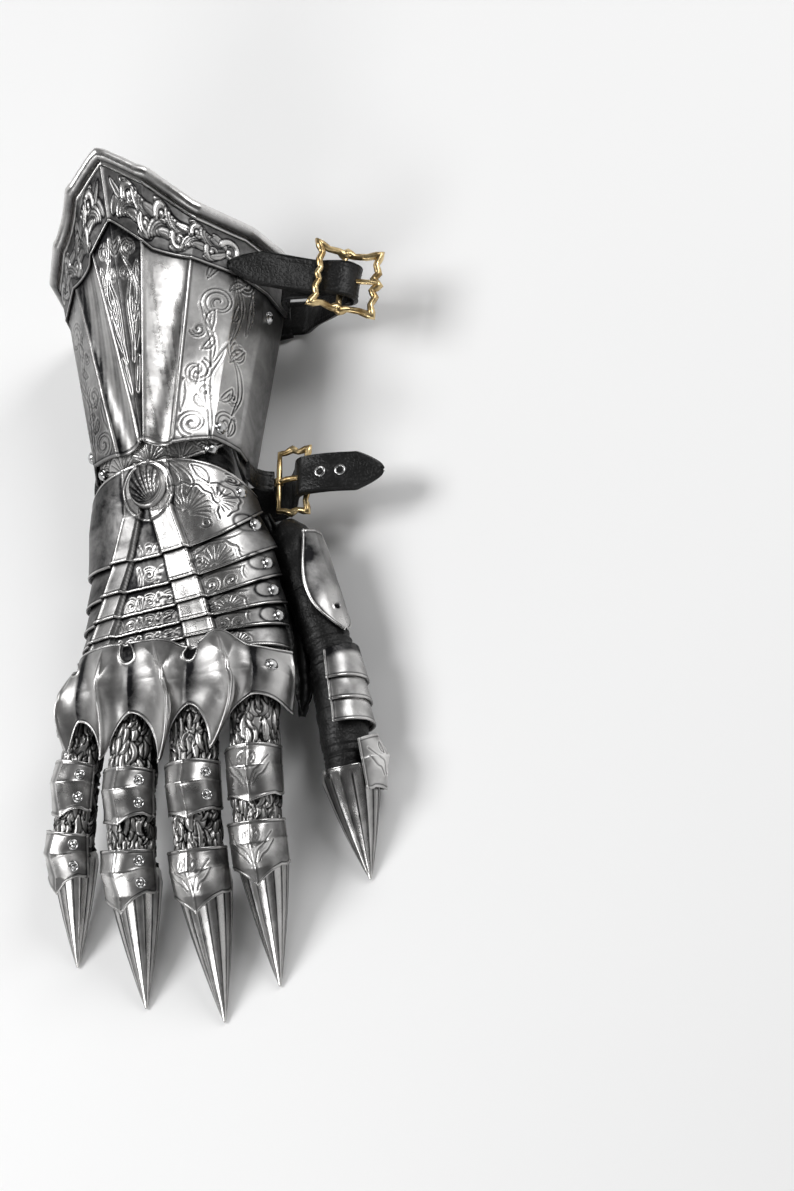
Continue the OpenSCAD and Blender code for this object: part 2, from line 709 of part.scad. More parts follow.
// Hollow claw: a bulged cone on the last joint
module claw(i) {
    l = len_tip[i];
    r = claw_r[i];
    base_y = i == 4 ? thumb_gap : fold_gap;
    n = 14;
    outer = [
        for (k = [0:n])
            let (f = k / n)
            [max(claw_tip_r, claw_tip_r + (r - claw_tip_r) * (1 - pow(f, 1.35))),
             mix(base_y, l - claw_tip_r, f)]
    ];
    color(steel)
    on_tip(i) difference() {
        rotate([90, 0, 0]) {
            rotate_extrude() polygon(concat([[0, base_y]], outer, [[0, l - claw_tip_r]]));
            translate([0, 0, l - claw_tip_r]) sphere(r = claw_tip_r);
        }
        translate([0, 1 - base_y, 0]) rotate([90, 0, 0])
            cylinder(r = finger_r[i] - stall_wall, h = 1 + socket_l / 2);
        translate([0, 1 - base_y - socket_l / 2, 0]) rotate([90, 0, 0])
            cylinder(r1 = finger_r[i] - stall_wall, r2 = 2, h = socket_l);
        fold_wedge(0, 1, dip_fold, r);
    }
}

// Glove: a leather shell from inside the cuff to the knuckles
glove_floor = patch_t + 0.3;
glove_rows = [88, 80, 70, 62, 54, 48, 38, 24, 8, -10, -27, glove_front];
// Half width of the glove on the little finger's side, on the thumb's side and at the wrist
glove_ulnar = [
    [-42, back_half], [-15, back_half - 3], [0, back_half - 5.5], [20, back_half - 8.5],
    [40, back_half - 12]
];
glove_radial = [
    [-42, back_half - 5], [0, back_half - 6.5], [20, back_half - 8.5], [40, back_half - 13]
];
glove_wrist = [[62, 0.82 * cuff_half_wrist], [88, 0.77 * cuff_half_wrist]];
module glove_hand() {
    color(leather)
    sheet(
        function (u, v)
            let (
                a = -360 * u,
                s = sign(sin(a)) * pow(abs(sin(a)), 0.8),
                c = sign(cos(a)) * pow(abs(cos(a)), 0.8),
                y = glove_rows[round(v * 11)],
                w = s < 0
                    ? along(concat(glove_ulnar, glove_wrist), y)
                    : along(concat(glove_radial, glove_wrist), y),
                top = y > 53
                    ? wrist_z + sqrt(pow(barrel - 4.7, 2) - pow(y - wrist_y, 2))
                    : mix(back_top(y) - 1, back_top(y) - 3, clamp((y - 20) / 28, 0, 1)),
                low = along([[-42, glove_floor], [28, glove_floor], [46, 15], [60, 20]], y),
                mid = (top + low) / 2 + 2,
                z = mid + c * (c > 0 ? top - mid : mid - low)
            ) [s * w, z < 30 && v > 0.9 ? y + (30 - z) * 0.4 : y, z],
        28, 11, leather_t, closed = true
    );
}
module palm_patch() {
    color(leather)
    linear_extrude(height = patch_t) offset(r = 8) square([patch_w - 16, patch_l - 16], center = true);
}

// Knuckle plate: ridges end in pointed lobes between the fingers, valleys in arches over them
knuckle_lift = 3.8 * (plate_t + play);
function over_back(a, y, more = 0) = back_lift(a, y, knuckle_lift + more);
function knuckle_lines() = [
    [[-59.5, -28, 37], [-69, -42, 40], [-70, -56, 39]],
    [over_back(-71, -24), [-62.5, -44, 54], [-62, -70, 46.5]],
    [over_back(-49, -23, 0.7 * spine_h), [-52, -42, 54], [-54, -55, 48]],
    [over_back(-34, -23, 0.7 * spine_h), [-37, -46, 65], [-45, -75, 45]],
    [over_back(-16, -24), [-22, -44, 60], [-25, -58, 53]],
    [over_back(-5, -25), [-1, -50, 68], [-14, -83, 46]],
    [over_back(10, -33, 0.4 * spine_h), [9, -49, 61], [6, -60, 53.5]],
    [over_back(24, -27, 0.4 * spine_h), [32, -51, 66], [13, -81, 46]],
    [over_back(46, -36), [42, -49, 57], [38, -61, 52]],
    [[56, -38, 40], [55.5, -52, 38], [50.5, -67, 32]]
];
knuckle_parts = [2, 3, 3, 4, 4, 4, 4, 4, 4];
function knuckle_cols() = [
    for (k = [0:8], i = [0:knuckle_parts[k] - 1]) [k, i / knuckle_parts[k]],
    [8, 1]
];
module knuckle_plate() {
    lines = knuckle_lines();
    cols = knuckle_cols();
    n = len(cols) - 1;
    color(steel)
    sheet(
        function (u, v)
            let (
                c = cols[n - round(u * n)],
                k = c[0],
                f = c[1],
                from_ridge = k % 2 == 1 || k == 0,
                curved = from_ridge ? sin(90 * f) : 1 - cos(90 * f),
                w = mix(f, curved, min(2 * v, 1)),
                at = function (line) v < 0.5
                    ? mix(line[0], line[1], 2 * v)
                    : mix(line[1], line[2], 2 * v - 1),
                a = at(lines[k]),
                b = at(lines[k + 1])
            ) [mix(a[0], b[0], f), mix(a[1], b[1], w), mix(a[2], b[2], w)],
        n, 6, plate_t
    );
}

// Thumb plates, in the thumb's own frames, turned toward its outer side
thumb_plate_turn = 30;
module thumb_shell(r, half, y0, y1, t, rise) {
    sheet(
        function (u, v)
            let (
                a = mix(half, -half, u),
                c = cos(a * 90 / half),
                y = mix(y0, y1, v),
                q = r + rise * (1 - v)
            ) [q * sin(a), y + 3 * c * (1 - v), q * cos(a)],
        8, 3, t
    );
}
module thumb_leaf_plate() {
    r = thumb_r + 0.4 + plate_t;
    color(steel)
    on_base(4) rotate([0, thumb_plate_turn, 0]) sheet(
        function (u, v)
            let (
                y = mix(-6, -62, v),
                half = along([[-62, 8], [-48, 52], [-30, 58], [-14, 44], [-6, 26]], y),
                a = mix(half - 8, -half - 8, u),
                q = r + 2 * cos(90 * v)
            ) [q * sin(a), y, q * cos(a)],
        8, 7, plate_t
    );
}
function thumb_lame_r() = thumb_r + 0.4 + plate_t;
module thumb_lame(k) {
    y0 = [-8, -19, -30][k - 1];
    color(steel)
    on_mid(4) rotate([0, thumb_plate_turn, 0]) translate([0, y0 + 6, 0])
        thumb_shell(thumb_lame_r() + plate_t + play + 0.6, 74, 0, -15, plate_t, -1.4 * (plate_t + play));
}
module thumb_tip_plate() {
    color(steel)
    on_tip(4) rotate([0, plate_turn[4], 0])
        joint_plate(claw_r[4] + 2 * play + plate_t, plate_half[4], 10, -14, 0, 2);
}
module thumb_base_stall() {
    color(leather)
    on_base(4) stall(thumb_r, -5, -len_base[4] + thumb_gap, 0, -len_base[4], thumb_fold);
}
module thumb_mid_stall() {
    color(leather)
    on_mid(4) stall(thumb_r, -thumb_gap, -len_mid[4] + thumb_gap, thumb_fold, -len_mid[4], dip_fold);
}

cuff_plate();
cuff_border_band();
cuff_lining();
cuff_rivets();
upper_strap();
upper_strap_chape();
upper_buckle_frame();
upper_buckle_tongue();
wrist_strap();
wrist_strap_chape();
wrist_buckle_frame();
wrist_buckle_tongue();
wrist_lame();
back_lame(1);  // back_lame_1
back_lame(2);  // back_lame_2
back_lame(3);  // back_lame_3
back_lame(4);  // back_lame_4
back_lame(5);  // back_lame_5
back_lame(6);  // back_lame_6
shell_boss();
hand_rivets();
knuckle_plate();
glove_hand();
palm_patch();
base_stall(0);  // index_base_stall
base_sleeve(0);  // index_base_sleeve
mid_stall(0);  // index_mid_stall
mid_sleeve(0);  // index_mid_sleeve
mid_plate(0);  // index_mid_plate
tip_plate(0);  // index_tip_plate
claw(0);  // index_claw
base_stall(1);  // middle_base_stall
base_sleeve(1);  // middle_base_sleeve
mid_stall(1);  // middle_mid_stall
mid_sleeve(1);  // middle_mid_sleeve
mid_plate(1);  // middle_mid_plate
tip_plate(1);  // middle_tip_plate
claw(1);  // middle_claw
base_stall(2);  // ring_base_stall
base_sleeve(2);  // ring_base_sleeve
mid_stall(2);  // ring_mid_stall
mid_sleeve(2);  // ring_mid_sleeve
mid_plate(2);  // ring_mid_plate
tip_plate(2);  // ring_tip_plate
claw(2);  // ring_claw
base_stall(3);  // little_base_stall
base_sleeve(3);  // little_base_sleeve
mid_stall(3);  // little_mid_stall
mid_sleeve(3);  // little_mid_sleeve
mid_plate(3);  // little_mid_plate
tip_plate(3);  // little_tip_plate
claw(3);  // little_claw
thumb_base_stall();
thumb_mid_stall();
thumb_leaf_plate();
thumb_lame(1);  // thumb_lame_1
thumb_lame(2);  // thumb_lame_2
thumb_lame(3);  // thumb_lame_3
thumb_tip_plate();
claw(4);  // thumb_claw
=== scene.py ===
import math
from functools import partial

import bmesh
import bpy
import numpy as np
from mathutils import Matrix, Vector


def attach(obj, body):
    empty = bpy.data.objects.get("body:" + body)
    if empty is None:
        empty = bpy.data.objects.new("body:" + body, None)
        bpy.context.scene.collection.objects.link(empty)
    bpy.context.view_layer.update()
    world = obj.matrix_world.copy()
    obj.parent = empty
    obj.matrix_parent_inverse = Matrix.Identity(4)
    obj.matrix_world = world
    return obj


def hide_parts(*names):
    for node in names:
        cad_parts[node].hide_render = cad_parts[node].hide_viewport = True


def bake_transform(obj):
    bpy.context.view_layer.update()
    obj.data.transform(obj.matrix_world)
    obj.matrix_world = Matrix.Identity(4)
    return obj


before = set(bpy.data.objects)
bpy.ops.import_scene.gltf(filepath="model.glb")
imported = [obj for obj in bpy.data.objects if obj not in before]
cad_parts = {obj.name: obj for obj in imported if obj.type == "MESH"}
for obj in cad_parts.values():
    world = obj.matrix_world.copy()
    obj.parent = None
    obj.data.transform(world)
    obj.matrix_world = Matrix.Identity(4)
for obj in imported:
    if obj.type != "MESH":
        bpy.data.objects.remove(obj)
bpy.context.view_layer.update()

MM = 0.001
PHOTO_H = 1191

# Camera: place and axes in the object's frame, focal length in pixels of the 1191 px high picture
EYE = Vector((0.5372, -0.5898, 1.2711))
EYE_RIGHT = Vector((0.93175, -0.07178, -0.35593))
EYE_UP = Vector((0.20454, 0.91370, 0.35117))
EYE_BACK = Vector((0.30001, -0.40001, 0.86602))
FOCAL_PX = 3000
SENSOR_H = 24


def make_camera():
    data = bpy.data.cameras.new("view")
    data.sensor_fit = "VERTICAL"
    data.sensor_height = SENSOR_H
    data.lens = FOCAL_PX / PHOTO_H * SENSOR_H
    data.clip_start = 0.05
    data.clip_end = 20
    camera = bpy.data.objects.new("view", data)
    bpy.context.scene.collection.objects.link(camera)
    turn = Matrix((EYE_RIGHT, EYE_UP, EYE_BACK)).transposed().to_4x4()
    camera.matrix_world = Matrix.Translation(EYE) @ turn
    bpy.context.scene.camera = camera


make_camera()


# Materials

class Wire:
    """A socket in a material's node tree. Sums and products of it add Math nodes."""

    def __init__(self, tree, socket=None):
        self.tree = tree
        self.socket = socket

    def node(self, kind, settings=None, sockets=None, out=0):
        made = self.tree.nodes.new("ShaderNode" + kind)
        for key, value in (settings or {}).items():
            if key == "stops":
                self.set_stops(made.color_ramp, value)
            else:
                setattr(made, key, value)
        for key, value in (sockets or {}).items():
            if isinstance(value, Wire):
                self.tree.links.new(value.socket, made.inputs[key])
            else:
                made.inputs[key].default_value = value
        return Wire(self.tree, made.outputs[out]) if made.outputs else None

    @staticmethod
    def set_stops(ramp, stops):
        for k, (place, level) in enumerate(stops):
            stop = ramp.elements[k] if k < 2 else ramp.elements.new(place)
            stop.position = place
            stop.color = (level, level, level, 1)

    def math(self, operation, other=0.0, third=0.0, clamp=False):
        return self.node("Math", {"operation": operation, "use_clamp": clamp},
                         {0: self, 1: other, 2: third})

    def __add__(self, other):
        return self.math("ADD", other)

    def __sub__(self, other):
        return self.math("SUBTRACT", other)

    def __rsub__(self, other):
        return self.math("MULTIPLY_ADD", -1.0, other)

    def __mul__(self, other):
        return self.math("MULTIPLY", other)

    def clamp(self):
        return self.math("ADD", 0.0, clamp=True)

    def between(self, low, high):
        """0 below low, 1 above high, smooth between."""
        return self.node("MapRange", {"interpolation_type": "SMOOTHSTEP"}, {0: self, 1: low, 2: high})

    def colour(self, first, second):
        """The first colour where this value is 0, the second where it is 1."""
        a = first if isinstance(first, Wire) else (*first, 1)
        b = second if isinstance(second, Wire) else (*second, 1)
        return self.node("Mix", {"data_type": "RGBA"}, {0: self, 6: a, 7: b}, out=2)

    def spots(self, scale, detail=3.0, rough=0.5, stretch=(1, 1, 1), warp=0.0):
        """Noise over the piece's own coordinates, where scale counts its blotches per metre."""
        place = self.node("TexCoord", out=3)
        place = self.node("Mapping", None, {0: place, 3: stretch})
        return self.node("TexNoise", None, {"Vector": place, "Scale": scale, "Detail": detail,
                                            "Roughness": rough, "Distortion": warp})

    def bump(self, height, depth, strength=1.0, under=None):
        sockets = {"Height": height, "Distance": depth, "Strength": strength}
        if under is not None:
            sockets["Normal"] = under
        return self.node("Bump", None, sockets)

    def shader(self, **sockets):
        made = self.node("BsdfPrincipled", None, {k.replace("_", " "): v for k, v in sockets.items()})
        self.node("OutputMaterial", None, {0: made})


def material(name):
    made = bpy.data.materials.new(name)
    made.use_nodes = True
    made.node_tree.nodes.clear()
    return made, Wire(made.node_tree)


def steel(name, dark, light, rough_low, rough_high, toned=True, grain=(1, 1, 1), stain=0.3):
    """Polished old steel, stained and finely scratched, with a painted highlight where it stands up and
    painted shade in its recesses.
    """
    made, w = material(name)
    stains = w.spots(48, 5, 0.64, warp=0.8)
    pits = w.spots(900, 3, 0.55)
    scratches = w.spots(300, 4, 0.65, stretch=grain)
    level = w.node("Attribute", {"attribute_name": "tone"}, out=2) if toned else stains * 0.3 + 0.55
    # The tone attribute brings each piece's engraving together with its painted highlights and painted
    # shade; stains and scratches go over it
    lightness = (level + (stains - 0.52) * (2 * stain) + (scratches - 0.5) * 0.22).clamp()
    colour = lightness.colour(dark, light)
    satin = lightness.between(0.72, 1.0) * 0.17
    rough = ((1 - lightness) * (rough_high - rough_low) + rough_low + satin + (scratches - 0.5) * 0.14).clamp()
    waves = w.spots(60, 2, 0.4)
    normal = w.bump(waves, 0.0014, 0.55)
    normal = w.bump(scratches, 0.00009, 0.6, under=normal)
    normal = w.bump(pits, 0.00004, 0.5, under=normal)
    w.shader(Base_Color=colour, Metallic=1.0, Roughness=rough, Normal=normal)
    return made


GRAIN_DEPTH = 0.00025


def leather(name, base, light, rough, grain=520):
    """Waxed leather: pebbled grain, fine creases, and lighter rubbed places."""
    made, w = material(name)
    cells = w.node("TexVoronoi", {"feature": "DISTANCE_TO_EDGE"},
                   {"Vector": w.node("TexCoord", out=3), "Scale": grain, "Randomness": 1.0})
    pebble = cells.between(0.0, 0.35)
    creases = w.spots(110, 6, 0.65, stretch=(1, 0.45, 1), warp=1.2)
    rub = w.spots(38, 4, 0.6)
    lightness = (rub.between(0.5, 0.78) * 0.6 + creases.between(0.55, 0.8) * 0.4).clamp()
    colour = lightness.colour(base, light)
    normal = w.bump(creases, GRAIN_DEPTH * 3, 0.5)
    normal = w.bump(pebble, GRAIN_DEPTH, 0.4, under=normal)
    roughness = (rough - lightness * 0.12 + (pebble - 0.5) * 0.08).clamp()
    w.shader(Base_Color=colour, Roughness=roughness, Normal=normal, Specular_IOR_Level=0.28)
    return made


def gilt(name):
    """Cast brass with a gilt wash, darker in its hollows."""
    made, w = material(name)
    stains = w.spots(140, 4, 0.6)
    pits = w.spots(700, 3, 0.5)
    colour = stains.between(0.3, 0.62).colour((0.27, 0.17, 0.065), (0.76, 0.59, 0.32))
    rough = (0.42 - stains * 0.22).clamp()
    normal = w.bump(stains, 0.0006, 0.5)
    normal = w.bump(pits, 0.00006, 0.6, under=normal)
    w.shader(Base_Color=colour, Metallic=1.0, Roughness=rough, Normal=normal)
    return made


DARK = (0.012, 0.012, 0.013)
GREY = (0.74, 0.73, 0.72)
STEEL = steel("polished_steel", DARK, GREY, 0.17, 0.5)
BRIGHT = steel("mirror_steel", DARK, (0.80, 0.79, 0.78), 0.23, 0.5, stain=0.2)
EMBOSSED = steel("embossed_steel", (0.004, 0.004, 0.004), GREY, 0.2, 0.6, stain=0.2)
CLAW = steel("claw_steel", DARK, GREY, 0.16, 0.42, grain=(1, 0.12, 1), stain=0.22)
RIVET = steel("rivet_steel", DARK, (0.80, 0.80, 0.80), 0.16, 0.4, toned=False)
GILT = gilt("gilt_brass")
STRAP = leather("strap_leather", (0.005, 0.005, 0.005), (0.022, 0.022, 0.023), 0.42)
GLOVE = leather("glove_leather", (0.005, 0.005, 0.005), (0.02, 0.02, 0.021), 0.46, grain=620)
LINING = leather("lining_leather", (0.02, 0.018, 0.017), (0.055, 0.05, 0.047), 0.62, grain=420)


# Meshes

def lerp(a, b, t):
    return a + (b - a) * t


def step(low, high, x):
    t = np.clip((x - low) / (high - low), 0, 1)
    return t * t * (3 - 2 * t)


def bell(distance, width):
    """1 where the distance is 0, and down to nothing within about two widths."""
    return np.exp(-(distance / width) ** 2)


def sin_d(a):
    return np.sin(np.radians(a))


def cos_d(a):
    return np.cos(np.radians(a))


def stack(*parts):
    return np.stack(np.broadcast_arrays(*[np.asarray(p, float) for p in parts]), axis=-1)


def unit(v):
    return v / np.maximum(np.linalg.norm(v, axis=-1, keepdims=True), 1e-9)


def lengths(p, axis):
    """Running length along the rows or the columns of a grid of points."""
    d = np.linalg.norm(np.diff(p, axis=axis), axis=-1)
    pad = [(0, 0), (0, 0)]
    pad[axis] = (1, 0)
    return np.pad(np.cumsum(d, axis=axis), pad)


class Face:
    """The grid that a piece's outer face follows, with what its relief needs to know of it."""

    def __init__(self, shape, columns, rows, closed):
        self.u, self.v = np.meshgrid(np.linspace(0, 1, columns + 1), np.linspace(0, 1, rows + 1))
        self.p = shape(self.u, self.v)
        self.closed = closed
        self.normal = self.find_normal()
        across = lengths(self.p, 1)
        self.x = across - across[:, columns // 2: columns // 2 + 1]
        self.y = lengths(self.p, 0)
        self.length = self.y[-1:, :]
        self.up = self.length - self.y
        self.sides = np.minimum(self.x - self.x[:, :1], self.x[:, -1:] - self.x)

    def find_normal(self):
        p = self.p
        du = np.gradient(p, axis=1)
        if self.closed:
            ends = p[:, 1] - p[:, -2]
            du[:, 0] = ends
            du[:, -1] = ends
        dv = np.gradient(p, axis=0)
        return unit(np.cross(du, dv))


def finish_piece(name, mesh, mat, body, nodes=()):
    """Links a piece, and attaches it to its body if it has one."""
    piece = bpy.data.objects.new(name, mesh)
    bpy.context.scene.collection.objects.link(piece)
    mesh.materials.append(mat)
    mesh.polygons.foreach_set("use_smooth", [True] * len(mesh.polygons))
    if body:
        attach(piece, body)
    if nodes:
        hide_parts(*nodes)
    return piece


def add_wall(piece, thickness, offset=-1):
    solid = piece.modifiers.new("wall", "SOLIDIFY")
    solid.thickness = thickness * MM
    solid.offset = offset


def skin_mesh(name, face, relief=None, closed=False):
    """The mesh of a face, pushed out along its normals by the relief, in metres."""
    rows, columns = face.u.shape[0] - 1, face.u.shape[1] - 1
    height, tone = relief(face) if relief else (0.0, 0.7)
    p = (face.p + face.normal * stack(height)) * MM
    tone = np.broadcast_to(np.clip(tone, 0, 1), face.u.shape)
    bm = bmesh.new()
    bmesh.ops.create_grid(bm, x_segments=columns, y_segments=rows, size=0.5)
    shade = bm.verts.layers.float.new("tone")
    for vert in bm.verts:
        i = round((vert.co.x + 0.5) * columns)
        j = round((vert.co.y + 0.5) * rows)
        vert[shade] = tone[j, i]
        vert.co = p[j, i]
    if closed:
        bmesh.ops.remove_doubles(bm, verts=bm.verts, dist=1e-6)
    mesh = bpy.data.meshes.new(name)
    bm.to_mesh(mesh)
    bm.free()
    return mesh


def skin(name, shape, columns, rows, wall, mat, body, nodes=(), relief=None, closed=False):
    """A wall of metal or leather whose outer face follows shape(u, v), in millimetres."""
    face = Face(shape, columns, rows, closed)
    piece = finish_piece(name, skin_mesh(name, face, relief, closed), mat, body, nodes)
    if wall:
        add_wall(piece, wall)


def place(frame_matrix, shape):
    """The shape, given in a local frame, moved into the object's frame."""
    turn = np.array(frame_matrix)[:3, :3]
    shift = np.array(frame_matrix)[:3, 3]

    def placed(u, v):
        return shape(u, v) @ turn.T + shift

    return placed


def at(x, y, z):
    return Matrix.Translation((x, y, z))


def turn_about(axis, degrees):
    return Matrix.Rotation(math.radians(degrees), 4, axis)


def spun(profile, steps=24, closed=False):
    """A bmesh turned about Z from (radius, height) points that start on the axis or close a loop."""
    bm = bmesh.new()
    verts = [bm.verts.new((r, 0, z)) for r, z in profile]
    ends = verts[1:] + verts[:1] if closed else verts[1:]
    edges = [bm.edges.new(pair) for pair in zip(verts, ends)]
    bmesh.ops.spin(bm, geom=verts + edges, axis=(0, 0, 1), cent=(0, 0, 0), steps=steps,
                   angle=math.tau, use_merge=True)
    bmesh.ops.remove_doubles(bm, verts=bm.verts, dist=1e-5)
    bmesh.ops.recalc_face_normals(bm, faces=bm.faces)
    return bm


def put(target, bm, matrix):
    """Adds a bmesh, given in millimetres, to the target bmesh at a place in the object's frame."""
    bmesh.ops.transform(bm, matrix=Matrix.Scale(MM, 4) @ matrix, verts=bm.verts)
    mesh = bpy.data.meshes.new("part")
    bm.to_mesh(mesh)
    target.from_mesh(mesh)
    bpy.data.meshes.remove(mesh)


def stood(point, normal):
    """A frame at a point in millimetres whose Z runs along the normal."""
    turn = Vector(normal).to_track_quat("Z", "Y").to_matrix().to_4x4()
    return at(*point) @ turn


def solid_piece(name, bm, mat, body, nodes=()):
    mesh = bpy.data.meshes.new(name)
    bm.to_mesh(mesh)
    bm.free()
    finish_piece(name, mesh, mat, body, nodes)


def spot_on(surface, s, y, lift):
    """A place on a surface that takes girth, y and lift, with its normal."""
    s, y = np.array([[s]], float), np.array([[y]], float)
    p, q = surface(s, y, lift)[0, 0], surface(s, y, lift + 1)[0, 0]
    return tuple(p), tuple(q - p)


def run_along(line):
    """Running length at each point of a line."""
    return np.concatenate([[0], np.cumsum(np.linalg.norm(np.diff(line, axis=0), axis=1))])


def on_line(v, run, points):
    """Points of a line in space at the running lengths v."""
    return np.stack([np.interp(v, run, points[:, n]) for n in range(3)], -1)


def sideways(d):
    """Unit vectors across a line's directions, in its own plane."""
    return unit(np.stack([-d[:, 1], d[:, 0]], -1))


# Ornament

def smooth_path(points, per_span=10):
    """A Catmull-Rom line through points in x and z."""
    p = np.asarray(points, float)
    p = np.vstack([2 * p[0] - p[1], p, 2 * p[-1] - p[-2]])
    t = np.linspace(0, 1, per_span, endpoint=False)[:, None]
    out = []
    for a, b, c, d in zip(p, p[1:], p[2:], p[3:]):
        out.append(0.5 * (2 * b + (c - a) * t + (2 * a - 5 * b + 4 * c - d) * t ** 2
                          + (3 * b - a - 3 * c + d) * t ** 3))
    return np.vstack(out + [p[-2][None]])


class Ornament:
    """Leaf and scroll work laid on a flat pattern plane, each stroke over the ones before it."""

    def __init__(self, x, y, ground=0.55, height=0.35, line=0.32):
        self.x = np.asarray(x, float)
        self.y = np.asarray(y, float)
        self.height = np.zeros(self.x.shape)
        self.tone = np.zeros(self.x.shape) + ground
        self.rise = height
        self.line = line

    def near(self, pts, reach):
        low = pts.min(0) - reach
        high = pts.max(0) + reach
        return (self.x > low[0]) & (self.x < high[0]) & (self.y > low[1]) & (self.y < high[1])

    def depth_in(self, pts, half, near):
        """How far each nearby point lies inside the stroke, and how far from its middle line."""
        q = np.stack([self.x[near], self.y[near]], -1)
        best = np.full(len(q), -99.0)
        middle = np.full(len(q), 99.0)
        for a, b, wa, wb in zip(pts[:-1], pts[1:], half[:-1], half[1:]):
            d = b - a
            t = np.clip(((q - a) @ d) / max(d @ d, 1e-9), 0, 1)
            gap = np.linalg.norm(q - a - t[:, None] * d, axis=1)
            inside = lerp(wa, wb, t) - gap
            middle = np.where(inside > best, gap, middle)
            best = np.maximum(best, inside)
        return best, middle

    def stroke(self, points, widths, bright=0.9, vein=False, rise=None):
        """One tapering stroke: its outline is cut as a groove with painted shade, and its body stands up
        with a painted highlight.
        """
        rise = self.rise if rise is None else rise
        pts = np.asarray(points, float)
        half = np.asarray(widths, float)
        line = self.line
        near = self.near(pts, half.max() + 2.5 * line)
        if not near.any():
            return
        best, middle = self.depth_in(pts, half, near)
        body = np.sqrt(np.clip(best / max(half.max() * 0.8, 0.3), 0, 1))
        covered = best > -2 * line
        cut = bell(best + line * 0.6, line)
        height = np.where(best > 0, rise * body, self.height[near] * step(-2 * line, 0, -best))
        # The raised body gets a painted highlight, brightest along its middle
        tone = np.where(best > 0, lerp(bright * 0.6, bright, body), self.tone[near])
        # A vein is a groove with painted shade in it
        if vein:
            seam = bell(middle, 0.35) * (best > 0.3)
            height = height - 0.3 * rise * seam
            tone = tone * (1 - 0.6 * seam)
        height = height - 0.35 * rise * cut
        # Painted shade in the outline's groove
        tone = tone * (1 - 0.95 * cut)
        self.height[near] = np.where(covered, height, self.height[near])
        self.tone[near] = np.where(covered, tone, self.tone[near])

    def engrave(self, points, width=0.36, depth=0.22, shine=0.34):
        """A cut line: painted shade in its bottom, with a burr along both sides that gets a painted
        highlight.
        """
        pts = np.asarray(points, float)
        near = self.near(pts, 4 * width)
        if not near.any():
            return
        gap = -self.depth_in(pts, np.zeros(len(pts)), near)[0]
        groove = bell(gap, width)
        burr = bell(gap - 1.9 * width, 0.75 * width)
        self.height[near] += depth * (0.4 * burr - groove)
        self.tone[near] = np.minimum(self.tone[near] * (1 - 0.93 * groove) + shine * burr * (1 - groove), 1)

    def leaf_line(self, x, y, heading, length, curl):
        t = np.linspace(0, 1, 11)
        a = np.radians(heading + curl * t ** 1.3)
        turns = np.stack([np.cumsum(np.cos(a)), np.cumsum(np.sin(a))], -1)
        return t, np.array([x, y]) + length * turns / 11

    def leaf(self, x, y, heading, length, curl, width, bright=0.9, vein=True):
        """A leaf from its root, turning by curl on its way and pointed at both ends."""
        t, pts = self.leaf_line(x, y, heading, length, curl)
        self.stroke(pts, width * np.sin(np.pi * (0.08 + 0.92 * t) ** 0.8) ** 0.8, bright, vein)

    def outline_leaf(self, x, y, heading, length, curl, width, shine=0.34):
        """A leaf that is only engraved: its two edges and its vein."""
        t, pts = self.leaf_line(x, y, heading, length, curl)
        n = sideways(np.gradient(pts, axis=0))
        half = (width * np.sin(np.pi * t) ** 0.8)[:, None]
        for edge in (-1, 1):
            self.engrave(pts + edge * half * n, shine=shine)
        self.engrave(pts[1:8], 0.26, 0.15, shine * 0.6)

    def volute_line(self, x, y, radius, start, turns):
        t = np.linspace(0, 1, int(26 * abs(turns)) + 6)
        a = np.radians(start) + math.tau * turns * t
        r = radius * (1 - t) ** 0.85 + 0.12 * radius
        return t, np.stack([x + r * np.cos(a), y + r * np.sin(a)], -1)

    def volute(self, x, y, radius, start, turns, width, bright=0.9):
        """A scroll that winds in to its eye from the given angle. With turns > 0 it winds to the left."""
        t, pts = self.volute_line(x, y, radius, start, turns)
        self.stroke(pts, width * (1 - 0.55 * t), bright)
        self.stroke([pts[-1], pts[-1] + 1e-3], [width * 0.9, width * 0.9], bright)

    def cut_scroll(self, x, y, radius, start, turns, gap=1.5, shine=0.34):
        """A scroll that is only engraved, as two lines that run side by side."""
        for r in (radius, radius - gap):
            self.engrave(self.volute_line(x, y, r, start, turns)[1], shine=shine)

    def cut_curve(self, points, gap=0.0, shine=0.34):
        """A smooth engraved line through points, or two of them a gap apart."""
        line = smooth_path(points, 8)
        if gap:
            n = sideways(np.gradient(line, axis=0))
            taper = np.sin(np.pi * np.linspace(0.02, 0.98, len(line)))[:, None]
            self.engrave(line + 0.5 * gap * taper * n, shine=shine)
            line = line - 0.5 * gap * taper * n
        self.engrave(line, shine=shine)

    def fan(self, x, y, middle, spread, count, length, shine=0.34):
        """A palmette: lines that spread from one root, with an arch round their ends."""
        t = np.linspace(0.22, 0.9, 8)
        for off in [k / (count - 1) - 0.5 for k in range(count)]:
            reach = length * (1 - 0.18 * abs(off) * 2)
            a = math.radians(middle + spread * off) + 0.05 * off * 2 * t * 6
            line = np.stack([x + reach * t * np.cos(a), y + reach * t * np.sin(a)], -1)
            self.engrave(line, 0.3, 0.2, shine)
        arch = np.radians(middle + spread * np.linspace(-0.62, 0.62, 25))
        ripple = length * (1.0 + 0.04 * np.cos(np.linspace(0, math.tau * count / 2, 25)))
        self.engrave(np.stack([x + ripple * np.cos(arch), y + ripple * np.sin(arch)], -1), 0.36, 0.25, shine)

    def work(self, scrolls, curves, leaves, shine):
        """Engraves scrolls, then curves that start with their gap, then leaves."""
        for scroll in scrolls:
            self.cut_scroll(*scroll, shine)
        for gap, *points in curves:
            self.cut_curve(points, gap, shine)
        for leaf in leaves:
            self.outline_leaf(*leaf, shine)
        return self


